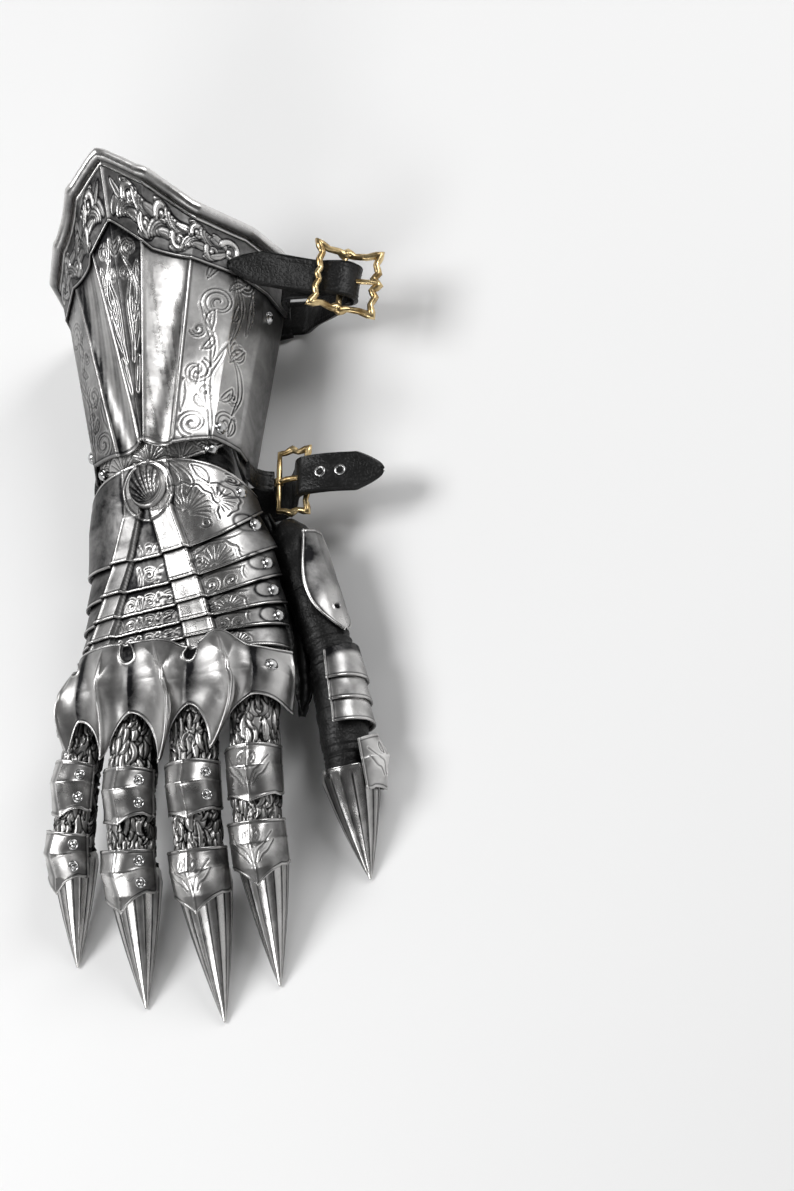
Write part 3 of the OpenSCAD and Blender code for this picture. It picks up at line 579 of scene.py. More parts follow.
def add_border(height, tone, distance, at_mm=1.0, width=0.55, bright=0.95):
    """A raised line that follows an edge, with a painted highlight on its top and a groove inside it with
    painted shade.
    """
    ridge = bell(distance - at_mm, width)
    groove = bell(distance - at_mm - 1.9 * width, 0.7 * width)
    rise = 0.3 * ridge - 0.15 * groove
    return height + rise, np.maximum(tone * (1 - 0.85 * groove), ridge * bright)


def mottle(face, seed, size=9.0, amount=1.0):
    """Slow waves of a hammered and polished sheet, the same in every run."""
    rng = np.random.default_rng(seed)
    total = np.zeros(face.u.shape)
    for _ in range(7):
        k = rng.normal(size=3)
        k *= rng.uniform(0.5, 1.3) * math.tau / size / np.linalg.norm(k)
        total += np.sin(face.p @ k + rng.uniform(0, math.tau))
    return amount * total / 7


# The cuff

# Section corners of the cuff at its wrist end and its elbow end: half width and height
WRIST_X = [0, 0.8, 15.0, 32.0, 39, 38.5]
WRIST_Z = [80, 79.9, 77.5, 67, 50, 27]
ELBOW_X = [0, 17.4, 38.3, 53.9, 58, 56.5]
ELBOW_Z = [112, 106, 84, 56, 30, 1.5]
CORNERS = range(6)
SECTION_Y = (70, 200)
APEX_Y = 212
BAND_W = 33
PLATE_T = 1.2
PLAY = 0.4
RIM_R = 1.9
RIM_TURN = 280
WIDE_PANEL_S = 2.85


def cuff_section(s, y):
    """Point of the cuff's section at girth s, from -5 on the little finger's side to 5."""
    g = np.abs(s)
    t = (y - SECTION_Y[0]) / (SECTION_Y[1] - SECTION_Y[0])
    x = lerp(np.interp(g, CORNERS, WRIST_X), np.interp(g, CORNERS, ELBOW_X), t)
    z = lerp(np.interp(g, CORNERS, WRIST_Z), np.interp(g, CORNERS, ELBOW_Z), t)
    f = np.clip(g - 1, 0, 1)
    return np.sign(s) * x, z - 2.2 * 4 * f * (1 - f)


def cuff_at(s, y, off):
    x, z = cuff_section(s, y)
    xa, za = cuff_section(np.maximum(s - 0.12, -5), y)
    xb, zb = cuff_section(np.minimum(s + 0.12, 5), y)
    d = unit(stack(xb - xa, zb - za))
    return stack(x - off * d[..., 1], y + 0 * x, z + off * d[..., 0])


def rim_y(s):
    x = np.abs(cuff_section(s, 195)[0])
    return APEX_Y - 0.66 * np.minimum(x, 37.7) - 0.22 * np.maximum(x - 37.7, 0)


def band_y(s):
    x = np.abs(cuff_section(s, 165)[0])
    return APEX_Y - BAND_W - 0.9 * np.minimum(x, 16.2) - 0.16 * np.maximum(x - 16.2, 0)


def wrist_edge_y(s):
    cusp = 3.2 * bell(np.abs(s) - 0.9, 0.35) - 2.2 * bell(np.abs(s) - 1.9, 0.3)
    return 69 + 1.4 * cos_d(s * 110) - 0.1 * s * s + 0.5 * cusp


def painted_rivet_shade(dx, dy, radius):
    """How much of its brightness the steel keeps round a rivet head, where a ring of painted shade lies."""
    gap = np.hypot(dx, dy) - radius
    return 1 - 0.85 * bell(gap, 0.75) * (gap > -0.75)


# Where there is ornament the columns of the cuff's grid lie closer together
GIRTH_U = [0, 0.06, 0.19, 0.26, 0.44, 0.62, 0.69, 0.94, 1]
GIRTH_S = [-5, -3.6, -2, -1, 0, 1, 2, 3.9, 5]


def girth(u):
    """Girth of a column."""
    return np.interp(u, GIRTH_U, GIRTH_S)


def cuff_plate_shape(u, v):
    s = girth(u)
    return cuff_at(s, lerp(wrist_edge_y(s), rim_y(s) - 1, v), 0)


def nearest(face, s_value):
    """Column of the cuff's grid that lies at girth s."""
    return int(round(float(np.interp(s_value, GIRTH_S, GIRTH_U)) * (face.u.shape[1] - 1)))


def across_from(face, s_value):
    """Distance across the cuff from its column at girth s."""
    k = nearest(face, s_value)
    return face.x - face.x[:, k:k + 1]


def wide_panel(y, x):
    """Engraved scrolls of the wide panel between the flute and the flank, from the wrist up."""
    scrolls = [(83, -6.5, 6.2, 180, 1.5, 1.7), (85, 6.8, 5.4, 60, -1.4, 1.6),
               (107, -8.0, 5.8, 20, 1.5, 1.6), (120, 8.8, 5.6, -30, -1.4, 1.6),
               (140, -3.5, 7.4, 200, 1.6, 2.0), (154, 8.8, 5.0, 200, -1.3, 1.5),
               (98, 9.5, 3.6, 90, 1.2, 1.2), (126, -10, 3.4, 250, -1.2, 1.2),
               (158, -4.0, 3.6, 300, 1.3, 1.2), (98, -3.5, 3.0, 120, -1.1, 1.1)]
    curves = [(2.2, (76, 1), (86, 0), (96, -2), (106, -3), (114, 0), (122, 3)),
              (2.2, (90, 10), (100, 13), (110, 11), (116, 7)),
              (2.2, (110, -3), (120, -3), (130, -7), (138, -11)),
              (2.2, (122, 4), (132, 7), (142, 8), (150, 4), (160, 1)),
              (2.2, (88, -12), (96, -12), (103, -13)),
              (2.2, (130, 12), (140, 13.5), (150, 13))]
    leaves = [(94, 2, 60, 11, -50, 1.8), (100, -7, -30, 10, 60, 1.7), (113, 5, 20, 12, 50, 1.8),
              (126, -4, -30, 11, 60, 1.8), (132, 3, 40, 11, -60, 1.8), (149, -10, 10, 13, 40, 1.8),
              (158, 4, 20, 10, -60, 1.6), (79, 9, 30, 10, -50, 1.6), (74, -1, 160, 8, 40, 1.4),
              (117, -8, 60, 9, -70, 1.5), (146, 0, 30, 10, 50, 1.6), (90, -2, -60, 8, 50, 1.4)]
    return Ornament(y, x, ground=0.5).work(scrolls, curves, leaves, 0.38)


def ridge_panel(y, x):
    """Engraved scrolls of the dark panel beside the ridge."""
    scrolls = [(166, 8.6, 4.6, 200, 1.4, 1.4), (153, 4.4, 3.2, 90, -1.3, 1.2)]
    curves = [(1.8, (161, 5), (152, 9), (143, 10), (134, 7), (124, 5)),
              (1.2, (150, 7), (140, 4), (131, 3.4), (120, 3.6), (110, 2.4)),
              (0.0, (134, 9), (126, 8), (116, 4.6)),
              (1.0, (112, 5.5), (104, 3.6), (95, 2.2))]
    leaves = [(172, 4, 200, 14, 40, 1.8), (160, 12.5, 190, 15, -30, 1.7), (142, 6, 165, 13, 40, 1.5)]
    return Ornament(y, x, ground=0.11).work(scrolls, curves, leaves, 0.5)


def cuff_plate_relief(face):
    s = girth(face.u)
    g = np.abs(s)
    y = face.p[..., 1]
    ridge_x = across_from(face, 0)
    # The side toward the thumb is painted lighter and the other one darker, as painted light and shade
    flute_tone = np.where(s > 0, 0.93, 0.42)
    panel_tone = np.where(s > 0, 0.52, 0.34)
    flank_tone = np.where(s > 0, 0.5, 0.3)
    tone = np.select([g < 1, g < 2, g < 3.9], [0.11, flute_tone, panel_tone], flank_tone)
    height = -0.25 * (g < 0.97) * step(0, 0.06, 1 - g)
    for side in (-1, 1):
        panel = wide_panel(120 + (y - 120) / 1.15, across_from(face, side * WIDE_PANEL_S) * side / 1.3)
        on = (g > 2.08) & (g < 3.9) & (s * side > 0)
        wear = 0.16 * np.sin(y * 0.11 + 1.2) * np.sin(ridge_x * 0.13)
        height = np.where(on, panel.height, height)
        # The panel on the little finger's side is painted darker, as shade
        tone = np.where(on, (panel.tone + wear) * (1 if side > 0 else 0.62), tone)
        half = np.abs(ridge_x[:, nearest(face, side * 0.98)])[:, None]
        inner = ridge_panel(y, ridge_x * side)
        on = (g < 0.93) & (s * side >= 0) & (np.abs(ridge_x) < half - 1.2)
        height = np.where(on, inner.height - 0.25, height)
        tone = np.where(on, inner.tone, tone)
    # Raised lines along the edges of the flute, each with a painted highlight on top and painted shade
    # beside it, and the ridge with a faint painted highlight
    for corner, wide in ((1, 0.55), (2, 0.6)):
        for side in (-1, 1):
            d = across_from(face, side * corner)
            height = height + 0.5 * bell(d, wide)
            tone = tone * (1 - 0.8 * bell(np.abs(d) - 2 * wide, 0.8 * wide))
            tone = np.maximum(tone, 0.95 * bell(d, wide))
    height = height + 0.25 * bell(ridge_x, 0.9)
    tone = np.maximum(tone, 0.24 * bell(ridge_x, 0.5))
    height, tone = add_border(height, tone, face.y, 1.1, 0.6)
    # Painted reflections in streaks along the flute and painted shade at its outer edge, painted shade near
    # and under the band's edge and down the flanks, and darker along the wrist edge
    flute = (g > 1.05) & (g < 1.95)
    reflection_streak = 0.12 * np.sin(ridge_x * 0.55) + 0.08 * np.sin(ridge_x * 1.7 + 1)
    tone = np.where(flute, tone + reflection_streak - 0.35 * step(1.6, 1.9, g), tone)
    under = step(0, 9, y - band_y(s) + 8)
    tone = tone * (1 - 0.7 * under) * (1 - 0.5 * step(3.7, 4.9, g))
    tone = tone * (0.55 + 0.45 * step(0, 7, face.y))
    return height + mottle(face, 3, 26, 0.12), tone


FLAT_PART = 0.74


def band_girth(u):
    return np.interp(u, [0, 0.07, 0.93, 1], [-5, -3.2, 3.2, 5])


def border_band_shape(u, v):
    s = band_girth(u)
    y1 = rim_y(s)
    lift = PLATE_T + 0.2
    flat = cuff_at(s, lerp(band_y(s), y1, np.minimum(v / FLAT_PART, 1)), lift)
    a = RIM_TURN * np.clip((v - FLAT_PART) / (1 - FLAT_PART), 0, 1)
    roll = cuff_at(s, y1 + RIM_R * sin_d(a), lift + RIM_R * (1 - cos_d(a)))
    return np.where(stack(v, v, v) <= FLAT_PART, flat, roll)


def band_leaves(x, y):
    """Broad leaves that lie over each other along the band, from its apex to a round end scroll."""
    band = Ornament(x, y, ground=0.2, height=0.5, line=0.34)
    band.leaf(2.5, -7, 62, 15, -30, 2.0, 0.6)
    band.leaf(3.5, 6, -50, 13, 40, 1.8, 0.5)
    for k in range(6):
        x0 = 6 + 9.6 * k
        side = 1 if k % 2 == 0 else -1
        shade = 0.95 - 0.08 * (k % 3)
        for j in range(5):
            heading, curl = side * (66 - 15 * j), -side * (78 - 12 * j)
            band.leaf(x0 + 1.5 * j, -side * (6.8 - 1.0 * j), heading, 14, curl, 1.9, shade - 0.06 * j,
                      j % 2 == 0)
        band.leaf(x0 + 3, side * 7.0, -side * 4, 13, -side * 34, 1.9, shade - 0.12)
        band.volute(x0 + 8.5, side * 3.2, 3.7, 200 * side, -side * 1.1, 1.45, shade)
    band.leaf(61, 5.5, -18, 13, -30, 1.6, 0.85)
    band.leaf(61, -6.0, 12, 13, 36, 1.6, 0.8)
    band.volute(72.5, -0.5, 5.6, 150, -0.95, 1.6, 0.97)
    return band


def border_band_relief(face):
    flat = face.v <= FLAT_PART + 1e-6
    rows = int(round(FLAT_PART * (face.v.shape[0] - 1)))
    width = face.y[rows:rows + 1, :]
    mid_x = face.x[rows // 2:rows // 2 + 1, :]
    x = np.broadcast_to(mid_x, face.u.shape)
    # The pattern is laid between the inner edge and the polished outer strip
    y = (face.y - 1.5 - (width - 6.5) * 0.5) * 17.5 / (width - 6.5)
    height = np.zeros(face.u.shape)
    tone = np.full(face.u.shape, 0.1)
    for side in (-1, 1):
        band = band_leaves(x * side, y)
        on = flat & (x * side >= 0) & (np.abs(y) < 8.8)
        height = np.where(on, band.height, height)
        # The half on the little finger's side is painted darker, as shade
        tone = np.where(on, band.tone * (1 if side > 0 else 0.6), tone)
    plain = step(80, 84, np.abs(x)) * flat
    tone = lerp(tone, 0.22, plain)
    # A painted highlight along the crest at the apex
    crest = bell(x, 0.8) * flat
    height = height + 0.5 * crest
    tone = np.maximum(tone, 0.5 * crest)
    height, tone = add_border(height, tone, np.where(flat, face.y, 99), 0.8, 0.45, 0.75)
    # A polished strip inside the rolled rim, lightened further as a painted sheen, set off by a cut line
    # with painted shade
    out = np.where(flat, width - face.y, 99)
    strip = np.where(out < 4.6, 1.0, 0.0)
    line = bell(out - 4.9, 0.4)
    height = height * (1 - strip) + 0.3 * strip - 0.3 * line
    tone = lerp(tone, 0.99, strip) * (1 - 0.92 * line)
    # Painted shade in the crease where the strip meets the roll; the roll gets a painted highlight that
    # gives way to painted shade where it turns under
    tone = tone * (1 - 0.45 * bell(out, 0.4))
    roll_tone = 1.05 - 0.85 * step(0.55, 0.95, (face.v - FLAT_PART) / (1 - FLAT_PART))
    tone = np.where(flat, tone, roll_tone)
    return height, tone


def make_cuff():
    skin("cuff_shell", cuff_plate_shape, 300, 164, PLATE_T, STEEL, "cuff",
         ["cuff_plate"], cuff_plate_relief)
    skin("cuff_engraved_band", border_band_shape, 430, 112, PLATE_T, STEEL, "cuff",
         ["cuff_border_band"], border_band_relief)
    skin("cuff_leather", lining_shape, 150, 60, LINING_T, LINING, "cuff",
         ["cuff_lining"], lining_relief, closed=True)


LINING_Y = (92, 176)
LINING_UPPER = 0.6
LINING_S = 3.7
LINING_T = 1.8


def lining_shape(u, v):
    y = lerp(LINING_Y[0], LINING_Y[1], v)
    back = cuff_at(lerp(-LINING_S, LINING_S, np.minimum(u / LINING_UPPER, 1)), y, -PLATE_T - PLAY)
    edge = cuff_at(np.full(u.shape, LINING_S), y, -PLATE_T - PLAY)
    a = 180 * np.clip((u - LINING_UPPER) / (1 - LINING_UPPER), 0, 1)
    drop = (edge[..., 2] - 7) * np.clip(sin_d(a), 0, 1) ** 0.8
    front = stack(edge[..., 0] * cos_d(a), y, edge[..., 2] - drop)
    return np.where(stack(u, u, u) <= LINING_UPPER, back, front)


def lining_relief(face):
    under = step(LINING_UPPER, LINING_UPPER + 0.06, face.u) * step(0, 0.06, 1 - face.u)
    folds = np.sin(face.v * 19 + 1.6 * np.sin(face.u * 21)) + 0.6 * np.sin(face.v * 43 + 5 * face.u * 3)
    seam = bell(face.y - 4.0, 0.5) + bell(face.up - 4.0, 0.5)
    return -0.45 * under * (1 + folds * 0.5) - 0.35 * seam, 0.5


make_cuff()


DOME_RISE = 0.68


def domes(name, spots, diameter, body, nodes=()):
    """Domed rivet heads, each on a thin washer, at points with their normals."""
    target = bmesh.new()
    r = diameter / 2
    curve = [(r * math.sin(a), r * DOME_RISE * math.cos(a)) for a in np.radians(np.linspace(0, 90, 9))]
    foot = [(r + 0.35, -0.02), (r + 0.4, -0.25), (r + 0.1, -0.6)]
    for point, normal in spots:
        put(target, spun(curve + foot + [(0, foot[-1][1])]), stood(point, normal))
    solid_piece(name, target, RIVET, body, nodes)


domes("cuff_rivet_heads",
      [spot_on(cuff_at, s, y, 1.4 if y > 170 else 0.1)
       for s, y in ((3.2, 77), (-3.2, 77), (-4.3, 150), (4.3, 150), (4.2, 176), (-4.2, 176))],
      6.6, "cuff", ["cuff_rivets"])


# The wrist lame

WRIST_PIVOT = (80, 45)
BARREL = WRIST_PIVOT[0] - WRIST_PIVOT[1] - 2.4
FLANK_X = 36.5


def barrel_r(x):
    return np.interp(x, [0, 14.8, 30, 36.5], [BARREL, BARREL - 2.4, BARREL - 10.5, BARREL - 21])


def wrist_lame_shape(u, v):
    s = lerp(1.15, -1.15, u)
    x = np.clip(np.abs(s), 0, 1) * FLANK_X
    a = lerp(-2, 40, v)
    r = barrel_r(x)
    low = np.clip((np.abs(s) - 1) / 0.15, 0, 1)
    y = lerp(WRIST_PIVOT[0] - r * sin_d(a), lerp(74, 52, v), low)
    z = lerp(WRIST_PIVOT[1] + r * cos_d(a), 36, low)
    return stack(np.sign(s) * x, y, z)


def wrist_lame_relief(face):
    # The ground is darker toward both flanks, as painted shade
    cut = Ornament(face.p[..., 0], face.y, ground=0.66 - 0.3 * step(20, 36, np.abs(face.p[..., 0])))
    cut.fan(0, 21, -90, 110, 9, 11.5, shine=0.4)
    for side in (-1, 1):
        cut.fan(side * 15.5, 22, -90 + side * 14, 120, 10, 12, shine=0.4)
        cut.cut_scroll(side * 26, 15, 3.4, 90, -side * 1.2)
        cut.outline_leaf(side * 22, 8.5, 90 - side * 75, 9, side * 60, 1.5)
    height, tone = cut.height, cut.tone
    height, tone = add_border(height, tone, face.up, 1.0, 0.45)
    x, y = face.p[..., 0], face.p[..., 1]
    # Painted shade in a ring round each rivet head
    for side in (-1, 1):
        tone = tone * painted_rivet_shade(x - side * 29.3, y - 60, 4.0)
    # Painted shadow where the cuff's edge lies over the lame, and painted shade toward both ends
    tone = tone * (0.25 + 0.75 * step(6, 12, face.y)) * (1 - 0.6 * step(0.75, 1.0, np.abs(1 - 2 * face.u)))
    return height + mottle(face, 9, 14, 0.12), tone


def make_wrist_lame():
    skin("wrist_lame_plate", wrist_lame_shape, 170, 56, PLATE_T, STEEL, "wrist_plate",
         ["wrist_lame"], wrist_lame_relief)
    x = 29.25
    r = float(barrel_r(x)) + 0.3
    back, up = -math.sin(math.radians(38)), math.cos(math.radians(38))
    domes("wrist_lame_rivets",
          [((side * x, WRIST_PIVOT[0] + r * back, WRIST_PIVOT[1] + r * up), (side * 0.62, back, up))
           for side in (-1, 1)], 5.6, "wrist_plate")


make_wrist_lame()


# The back of the hand

LAYER = PLATE_T + PLAY
BULGE = 2.5
BACK_EDGE = 35
SPINE_H = 3
LAME_A = 86
BACK_TOP = ([-46, -10, 20, 48, 66], [52, 56.92, 63.89, 72.5, 73.7])
BACK_RIDGE_Z = 72.5
LAME_EDGES = [(48, 61, 48), (20, 14, 38), (4, 0, 18), (-8, -11, 3), (-17, -20, -12), (-25, -28, -24),
              (-33, -36, -36)]


def back_c(y):
    return np.interp(y, [-46, -15, 20, 40, 62], [-1.5, 0.2, 1.3, -1, 0])


def back_w(y):
    return 51 + np.interp(y, [-46, -15, 0, 20, 40, 62], [0.5, -0.8, -3.2, -5.8, -10, -14])


def back_top(y):
    return np.interp(y, *BACK_TOP)


def back_section(a, y):
    across = np.sign(a) * np.abs(sin_d(a)) ** (2 / BULGE)
    up = np.abs(cos_d(a)) ** (2 / BULGE)
    return back_c(y) + back_w(y) * across, BACK_EDGE + (back_top(y) - BACK_EDGE) * up


def back_lift(a, y, lift):
    x, z = back_section(a, y)
    xa, za = back_section(np.maximum(a - 2, -89.5), y)
    xb, zb = back_section(np.minimum(a + 2, 89.5), y)
    d = unit(stack(xb - xa, zb - za))
    return stack(x - lift * d[..., 1], y + 0 * x, z + lift * d[..., 0])


def spine_x(side, y):
    return np.interp(y, [-34, 34], [17.5, 5.5]) if side > 0 else np.interp(y, [-24, 36], [-38, -9])


def spine_half(side, y):
    return np.interp(y, [-34, 34], [8, 5.5]) if side > 0 else np.interp(y, [-24, 36], [7, 4.5])


def spine_rise(x, y):
    depth = np.maximum(*[spine_half(k, y) - np.abs(x - spine_x(k, y)) for k in (1, -1)])
    fade = np.interp(y, [-36, -10, 34, 44], [0.5, 1, 1, 0])
    return SPINE_H * fade * step(-1.0, 1.0, depth), depth


def lame_y(k, a):
    e = LAME_EDGES[k]
    f = (np.abs(a) / LAME_A) ** 1.6
    return lerp(e[1], np.where(a < 0, e[0], e[2]), f)


def lame_shape(k, u, v):
    first = k == 1
    a = lerp(LAME_A, -LAME_A, u)
    y = lerp(lame_y(k - 1, a) + (0 if first else 5), lame_y(k, a), v)
    lift = lerp(2 if first else 0.9, 2.7, v) * LAYER
    x = back_section(a, y)[0]
    rise, _ = spine_rise(x, y)
    return back_lift(a, y, lift + rise)


HAND_RIVETS = [(66, 44), (69, 27), (71, 7), (72, -7), (74, -20)]


def first_lame_work(x, y):
    """Engraving of the first lame beside the shell: broad leaf, fans and a small scroll."""
    # The ground is darker toward the flank on the thumb's side, as painted shade
    cut = Ornament(x, y, ground=0.74 - 0.4 * step(22, 46, x))
    cut.fan(17, 31, 62, 120, 12, 15, shine=0.42)
    cut.fan(31, 37, 20, 130, 9, 9, shine=0.36)
    cut.cut_curve([(8, 62), (14, 58), (20, 52), (22.5, 46), (19, 40)], 0, 0.42)
    cut.cut_curve([(11, 58), (15, 53), (17, 48), (16, 42)], 0, 0.42)
    cut.outline_leaf(21, 56, -35, 13, -40, 2.2, 0.42)
    cut.cut_scroll(37, 49, 3.2, 120, -1.2)
    cut.cut_scroll(26, 26, 2.6, 200, 1.2)
    return cut


def lame_work(k, x, w, tall):
    """Engraving of a back lame, laid from its lower edge up: x across, w up from the edge."""
    root = float(spine_x(1, (LAME_EDGES[k][1] + LAME_EDGES[k - 1][1]) / 2)) + 8
    # The ground is darker toward the flank on the thumb's side, as painted shade
    cut = Ornament(x, w, ground=0.72 - 0.42 * step(root + 12, root + 30, x))
    if k % 2 == 0:
        cut.fan(root + 9, 1.0, 90, 150, 11, tall * 0.72, shine=0.42)
        cut.cut_scroll(root + 9 + tall * 0.95, tall * 0.42, tall * 0.26, 200, 1.2, 1.1)
        cut.outline_leaf(root + 7 + tall * 1.25, 1.8, 62, tall * 0.8, -50, 1.2)
        cut.cut_scroll(root + 1.5, tall * 0.40, tall * 0.24, -20, -1.2, 1.1)
    else:
        cut.cut_scroll(root + 4, tall * 0.40, tall * 0.30, 250, 1.3, 1.2, 0.42)
        cut.cut_scroll(root + 4 + tall * 0.72, tall * 0.36, tall * 0.26, -60, -1.3, 1.1, 0.42)
        for lean in (-34, 0, 34):
            cut.outline_leaf(root + 5 + tall * 1.35, 1.6, 90 - lean, tall * 0.7, lean * 0.8, 1.1, 0.42)
        cut.fan(root + 2 + tall * 2.1, 0.8, 100, 110, 7, tall * 0.55)
    cut.cut_curve([(root + x0, tall * up) for x0, up in ((-4, 0.75), (6, 0.86), (18, 0.78), (27, 0.9))])
    # The flank's end is left plain, at a dark tone of painted shade
    plain = step(37, 42, x)
    cut.height = cut.height * (1 - plain)
    cut.tone = lerp(cut.tone, 0.3, plain)
    return cut


def strip_work(k, x, w, tall):
    """The scrolls between the two spines, as many as fit side by side."""
    y = LAME_EDGES[k][1] + 4
    middle = float(spine_x(1, y) + spine_x(-1, y)) / 2
    half = float(spine_x(1, y) - spine_half(1, y) - spine_x(-1, y) - spine_half(-1, y)) / 2
    cut = Ornament(x, w, ground=0.1)
    for n in (-1, 0, 1):
        if abs(n) * 10.5 + 3.5 > half:
            continue
        root = middle + 10.5 * n
        cut.cut_scroll(root + 0.8, tall * 0.48, min(tall * 0.32, 3.4), 120 + 40 * n, -1.4 + 0.1 * n,
                       1.1, 0.5)
        cut.cut_curve([(root - 4.4, 0.8), (root - 4.0, tall * 0.35), (root - 4.8, tall * 0.8)], 1.0, 0.45)
        cut.outline_leaf(root + 4.0, 1.0, 80, tall * 0.7, -30, 0.9, 0.45)
    return cut


def lame_relief(k, face):
    x, y = face.p[..., 0], face.p[..., 1]
    depth = spine_rise(x, y)[1]
    on_spine = step(-0.4, 1.4, depth)
    up = face.up
    tall = (LAME_EDGES[k - 1][1] - LAME_EDGES[k][1] + LAME_EDGES[k - 1][2] - LAME_EDGES[k][2]) / 2
    work = first_lame_work(x, y) if k == 1 else lame_work(k, x, up, tall)
    strip = strip_work(k, x, up, 8 if k == 1 else tall * 0.8)
    right = x > spine_x(1, y)
    left = x < spine_x(-1, y)
    # Past the spine toward the little finger the plate is painted dark, as shade
    height = np.where(right, work.height, np.where(left, 0, strip.height))
    tone = np.where(right, work.tone, np.where(left, 0.15, strip.tone))
    height = height * (1 - on_spine)
    # Painted highlight on the spine toward the thumb, darker on its inner half, and painted shade on the
    # spine toward the little finger
    shade = 0.93 - 0.2 * step(0.2, 1, -np.sign(x - spine_x(1, y)) * (x > spine_x(-1, y) + 8))
    tone = lerp(tone, np.where(x > spine_x(-1, y) + 9, shade, 0.27), on_spine)
    # Painted shade in the corners beside the spines, and painted highlights on their crisp edges
    tone = tone * (1 - 0.92 * bell(depth + 1.1, 0.8))
    tone = np.maximum(tone, 0.95 * bell(depth - 0.5, 0.4))
    height = height + 0.35 * bell(depth - 0.5, 0.7)
    height, tone = add_border(height, tone, up, 0.8, 0.42)
    if k == 1:
        # A raised collar round the shell, with a painted highlight on it and painted shade just outside it
        collar = np.hypot(x / 12.5, (y - 46) / 14.5)
        height = height + 0.45 * bell(collar - 1.0, 0.035)
        tone = np.maximum(tone * (1 - 0.9 * bell(collar - 1.09, 0.05)),
                          0.6 * bell(collar - 1.0, 0.025))
        height, tone = add_border(height, tone, face.y, 0.9, 0.5)
    else:
        # Painted shadow under the edge of the lame nearer the wrist, which lies over this one
        tone = tone * (0.06 + 0.94 * step(4.6, 7.6, face.y))
    # Painted shade in a ring round each rivet head
    for a, y_rivet in HAND_RIVETS:
        tone = tone * painted_rivet_shade(x - back_section(np.float64(a), y_rivet)[0], y - y_rivet, 4.1)
    # Painted shade toward both flanks
    tone = tone * (1 - 0.6 * step(62, LAME_A, np.abs(lerp(LAME_A, -LAME_A, face.u))))
    return height + mottle(face, 10 + k, 14, 0.12), tone


def make_lames():
    for k in range(1, 7):
        skin(f"back_plate_{k}", partial(lame_shape, k), 260, 90 if k == 1 else 44, PLATE_T, STEEL, "hand",
             [f"back_lame_{k}"], partial(lame_relief, k))


make_lames()


BOSS_Y = 48
BOSS_R = 10.2
BOSS_H = 6.2


def boss_shape(u, v):
    a = 360 * u
    r = BOSS_R * v
    z = BACK_RIDGE_Z + 2 * LAYER + 0.2 + BOSS_H * np.sqrt(np.clip(1 - v ** 2.4, 0, 1))
    return stack(0.95 * r * cos_d(a), BOSS_Y + 1.16 * r * sin_d(a), z - 0.9 * v ** 6)


def boss_relief(face):
    x = face.p[..., 0]
    y = face.p[..., 1] - BOSS_Y
    fan = np.degrees(np.arctan2(y + 13, x - 4))
    out = np.hypot(x - 4, y + 13)
    rib = np.abs(np.sin(np.radians(fan * 180 / 9.5)))
    inner = 1 - step(0.76, 0.86, face.v)
    growth = 0.5 + 0.5 * np.sin(out * 2.6)
    height = inner * (0.9 * rib ** 0.6 - 0.65 + 0.12 * growth) * step(1, 6, out)
    rim = bell(face.v - 0.94, 0.03)
    # Painted highlights on the ribs and painted shade between them, and painted shade over one side of the
    # shell
    tone = lerp(0.06 + 0.8 * rib ** 1.4 * (0.75 + 0.25 * growth), 0.6, 1 - inner)
    tone = tone * (0.25 + 0.75 * step(-5, 5, x + 0.3 * y))
    # Painted shade in the crease inside the rim, and a painted highlight on the rim
    tone = tone * (1 - 0.9 * bell(face.v - 0.84, 0.03))
    return height + 0.7 * rim, np.maximum(tone, 0.92 * rim)


skin("shell_boss_shell", boss_shape, 144, 44, 0, STEEL, "hand", ["shell_boss"],
     boss_relief, closed=True)


domes("hand_rivet_heads", [spot_on(back_lift, a, y, 2.15 * LAYER) for a, y in HAND_RIVETS], 6.4, "hand",
      ["hand_rivets"])


# The knuckle plate

KNUCKLE_LIFT = 3.8 * LAYER
KNUCKLE_PARTS = [2, 3, 3, 4, 4, 4, 4, 4, 4]
KNUCKLE_ROOTS = [(-71, -24, 0), (-49, -23, 2.1), (-34, -23, 2.1), (-16, -24, 0), (-5, -25, 0),
                 (10, -33, 1.2), (24, -27, 1.2), (46, -36, 0)]
KNUCKLE_BULGE = np.array([0, -1.7, 0, 1.5, 0, 3.0, 0, 4.0, 0, 0])


def knuckle_lines():
    """Crest and end of each ridge and valley, from the little finger's side, after its root."""
    ends = [[(-69, -42, 40), (-70, -56, 39)], [(-62.5, -44, 54), (-62, -70, 46.5)],
            [(-52, -42, 54), (-54, -55, 48)], [(-37, -46, 65), (-45, -75, 45)],
            [(-22, -44, 60), (-25, -58, 53)], [(-1, -50, 68), (-14, -83, 46)],
            [(9, -49, 61), (6, -60, 53.5)], [(32, -51, 66), (13, -81, 46)],
            [(42, -49, 57), (38, -61, 52)], [(55.5, -52, 38), (50.5, -67, 32)]]
    over = [spot_on(back_lift, a, y, KNUCKLE_LIFT + more)[0] for a, y, more in KNUCKLE_ROOTS]
    roots = [(-59.5, -28, 37)] + over + [(56, -38, 40)]
    return np.array([[root] + rest for root, rest in zip(roots, ends)], float)


KNUCKLE_LINES = knuckle_lines()
KNUCKLE_STOPS = np.concatenate([[0], np.cumsum(KNUCKLE_PARTS)]) / sum(KNUCKLE_PARTS)


def knuckle_place(u):
    """Which ridge or valley a column belongs to, and how far along to the next one."""
    w = 1 - u
    k = np.clip(np.searchsorted(KNUCKLE_STOPS, w, side="right") - 1, 0, 8)
    f = (w - KNUCKLE_STOPS[k]) / (KNUCKLE_STOPS[k + 1] - KNUCKLE_STOPS[k])
    return k, np.clip(f, 0, 1)


